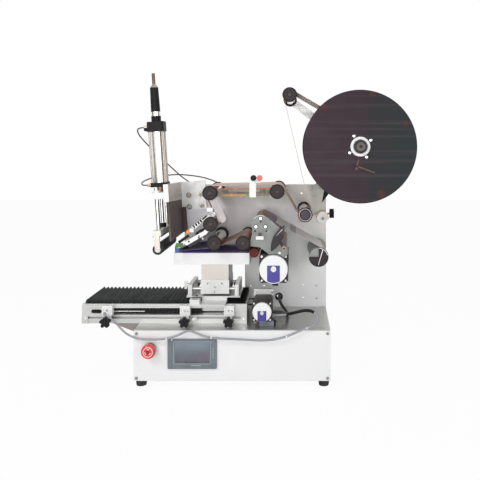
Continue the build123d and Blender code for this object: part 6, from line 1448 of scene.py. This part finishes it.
def press_details():
    """The dark plate under the yoke, the side panel in its painted brown shade, and the black fitting beside
    the brass one.
    """
    x = PRESS_PIVOT.x
    under = box(bmesh.new(), (x - YOKE_PAD_HALF, x + YOKE_PAD_HALF), *YOKE_PAD, PRESS_LEAN)
    piece("yoke_pad", under, BLACK, 0.0004, "press")
    panel = box(bmesh.new(), *SKIRT_BOX, PRESS_LEAN)
    box(panel, *SKIRT_FLANGE, PRESS_LEAN)
    piece("side_skirt", panel, SKIRT, 0.0006)
    fitting = tube(bmesh.new(), (x - VALVE_REACH, VALVE_Z), 0.0052, (-0.0700, -0.0500), 24, PRESS_LEAN)
    piece("flow_valve", fitting, BLACK)


def plate_grommet():
    """The rubber grommet in the back plate, round the motor cable."""
    grommet = bmesh.new()
    for outer, front, back in GROMMET_RINGS:
        washer(grommet, GROMMET_PLACE, (GROMMET_HOLE, outer), (front, back), 40)
    piece("plate_grommet", grommet, BLACK, 0.0012)


# Soft pad

PAD_CORNER = 0.006
PAD_EDGE = 0.0045
PAD_CROWN = 0.0010
PAD_PULL = 0.0012
PAD_INSET = 0.0002
PAD_STEPS = (22, 6)


def pad_ring(bm, low, high, inset, z, crown):
    """One ring of points round the pad, drawn in, with its sides pulled in between the corners."""
    half_x, half_y = (high.x - low.x) / 2, (high.y - low.y) / 2
    middle_x, middle_y = (high.x + low.x) / 2, (high.y + low.y) / 2
    corner = max(PAD_CORNER - inset, 0.0008)
    side_steps, corner_steps = PAD_STEPS
    ring = []
    for side in range(4):
        turn = math.pi / 2 * side
        out, length = half_x - inset, half_y - inset - corner
        if side % 2:
            out, length = half_y - inset, half_x - inset - corner
        for step in range(side_steps + corner_steps):
            if step < side_steps:
                share = step / side_steps
                pull = math.sin(math.pi * share) ** 2 * PAD_PULL
                place = Vector((out - pull, -length + 2 * length * share))
            else:
                angle = math.pi / 2 * (step - side_steps) / corner_steps
                place = Vector((out - corner + corner * math.cos(angle), length + corner * math.sin(angle)))
            x = place.x * math.cos(turn) - place.y * math.sin(turn)
            y = place.x * math.sin(turn) + place.y * math.cos(turn)
            bulge = crown * (1 - (x / half_x) ** 2) * (1 - (y / half_y) ** 2)
            ring.append(bm.verts.new((middle_x + x, middle_y + y, z + bulge)))
    return ring


def soft_pad():
    """The platform's soft pad: a crowned block of foam with rounded upper edges."""
    low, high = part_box("platform_pad")
    top = high.z
    levels = [(0.0014, low.z + SEAT, 0), (0.0004, low.z + 0.0012, 0), (PAD_INSET, top - PAD_EDGE, 0)]
    for step in range(1, 6):
        angle = math.pi / 2 * step / 5
        drawn_in = PAD_INSET + PAD_EDGE * (1 - math.cos(angle))
        levels.append((drawn_in, top - PAD_EDGE * (1 - math.sin(angle)), 0))
    rings_inside = 14
    reach = (high.y - low.y) / 2 - PAD_INSET - PAD_EDGE
    for step in range(1, rings_inside):
        levels.append((PAD_INSET + PAD_EDGE + reach * step / rings_inside, top, PAD_CROWN))
    bm = bmesh.new()
    skin(bm, [pad_ring(bm, low, high, *level) for level in levels])
    made = piece("soft_pad", bm, PAD, body="jig")
    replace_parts(made, "platform_pad")


# Floor, light and camera

WORLD_LIGHT = 0.34
FLOOR_REACH = 6
FLOOR_GLOW = 0.96
LAMPS = (
    ("key", (-1.3, -1.9, 1.9), (1.0, 1.0), 19),
    ("fill", (1.8, -1.6, 1.2), (1.2, 1.2), 6),
    ("front", (-0.2, -2.7, 0.55), (1.8, 1.0), 21),
    ("top", (0.1, 0.1, 2.2), (1.4, 1.4), 8),
)
LAMP_TARGET = Vector((0, 0, 0.35))
CARDS = (
    ("left_card", (-2.6, -0.9, 0.7), (0.10, 0.09, 0.08)),
    ("right_card", (2.6, -0.9, 0.7), (0.12, 0.11, 0.10)),
)
CARD_SIZE = (1.4, 3.0)
CARD_TARGET = Vector((0, 0, 0.5))


def bare_tree(owner):
    """The cleared node tree of a material or a world."""
    owner.use_nodes = True
    owner.node_tree.nodes.clear()
    return owner.node_tree


def sheet_object(name, reach, material):
    """A flat square with a material."""
    bm = bmesh.new()
    bmesh.ops.create_grid(bm, x_segments=1, y_segments=1, size=reach)
    return put(name, mesh_of(name, bm, material))


def floor():
    """A white floor that keeps the machine's shadow."""
    material = bpy.data.materials.new("floor_white")
    tree = bare_tree(material)
    diffuse = add_node(tree, "BsdfDiffuse", {"Color": (0.9, 0.9, 0.9, 1)})
    glow = add_node(tree, "Emission", {"Strength": 1.0})
    rays = add_node(tree, "LightPath").outputs["Is Camera Ray"]
    share = add_node(tree, "Math", {0: rays, 1: FLOOR_GLOW}, operation="MULTIPLY")
    mix = {"Fac": share.outputs[0], 1: diffuse.outputs[0], 2: glow.outputs[0]}
    both = add_node(tree, "MixShader", mix)
    add_node(tree, "OutputMaterial", {"Surface": both.outputs[0]})
    sheet_object("floor", FLOOR_REACH, material)


def reflection_card(name, place, shade):
    """A dark card that only metal sees, so that round steel shows a dark band."""
    material = bpy.data.materials.new(name)
    tree = bare_tree(material)
    glow = add_node(tree, "Emission", {"Color": (*shade, 1)})
    add_node(tree, "OutputMaterial", {"Surface": glow.outputs[0]})
    card = sheet_object(name, 1, material)
    card.location = place
    card.scale = (CARD_SIZE[0] / 2, CARD_SIZE[1] / 2, 1)
    card.rotation_euler = (CARD_TARGET - Vector(place)).to_track_quat("Z", "Y").to_euler()
    card.visible_camera = False
    card.visible_diffuse = False
    card.visible_shadow = False
    card.visible_transmission = False


def world():
    """White background for the camera, for metal and through glass, softer light for the rest."""
    made = bpy.data.worlds.new("studio")
    bpy.context.scene.world = made
    tree = bare_tree(made)
    light = add_node(tree, "Background", {"Color": (1, 1, 1, 1), "Strength": WORLD_LIGHT})
    white = add_node(tree, "Background", {"Color": (1, 1, 1, 1), "Strength": 1.0})
    rays = add_node(tree, "LightPath").outputs
    share = rays["Is Camera Ray"]
    for other in ("Is Glossy Ray", "Is Transmission Ray"):
        inputs = {0: share, 1: rays[other]}
        share = add_node(tree, "Math", inputs, operation="ADD", use_clamp=True).outputs[0]
    mix = {"Fac": share, 1: light.outputs[0], 2: white.outputs[0]}
    both = add_node(tree, "MixShader", mix)
    add_node(tree, "OutputWorld", {"Surface": both.outputs[0]})


def area_light(name, place, size, power):
    """A soft lamp that looks at the middle of the machine."""
    lamp = bpy.data.lights.new(name, "AREA")
    lamp.shape = "RECTANGLE"
    lamp.size, lamp.size_y = size
    lamp.energy = power
    made = put(name, lamp)
    made.location = place
    made.rotation_euler = (LAMP_TARGET - Vector(place)).to_track_quat("-Z", "Y").to_euler()


def camera():
    """A level camera whose lens is shifted as the photograph's framing needs."""
    lens = bpy.data.cameras.new("camera")
    lens.lens = LENS
    lens.sensor_width = SENSOR
    lens.shift_x = SHIFT_X
    lens.shift_y = SHIFT_Y
    made = put("camera", lens)
    made.location = CAMERA_PLACE
    made.rotation_euler = (math.pi / 2, 0, 0)
    bpy.context.scene.camera = made


camera()
cords()
floor()
world()
for lamp in LAMPS:
    area_light(*lamp)
for card in CARDS:
    reflection_card(*card)
paint_nodes()
bellows()
web()
control_panel()
stop_face()
screw_heads()
traction_details()
motor_details()
reel_front()
roller_fronts()
peel_comb()
table_details()
press_details()
soft_pad()
plate_grommet()

bpy.context.scene.view_settings.view_transform = "Standard"
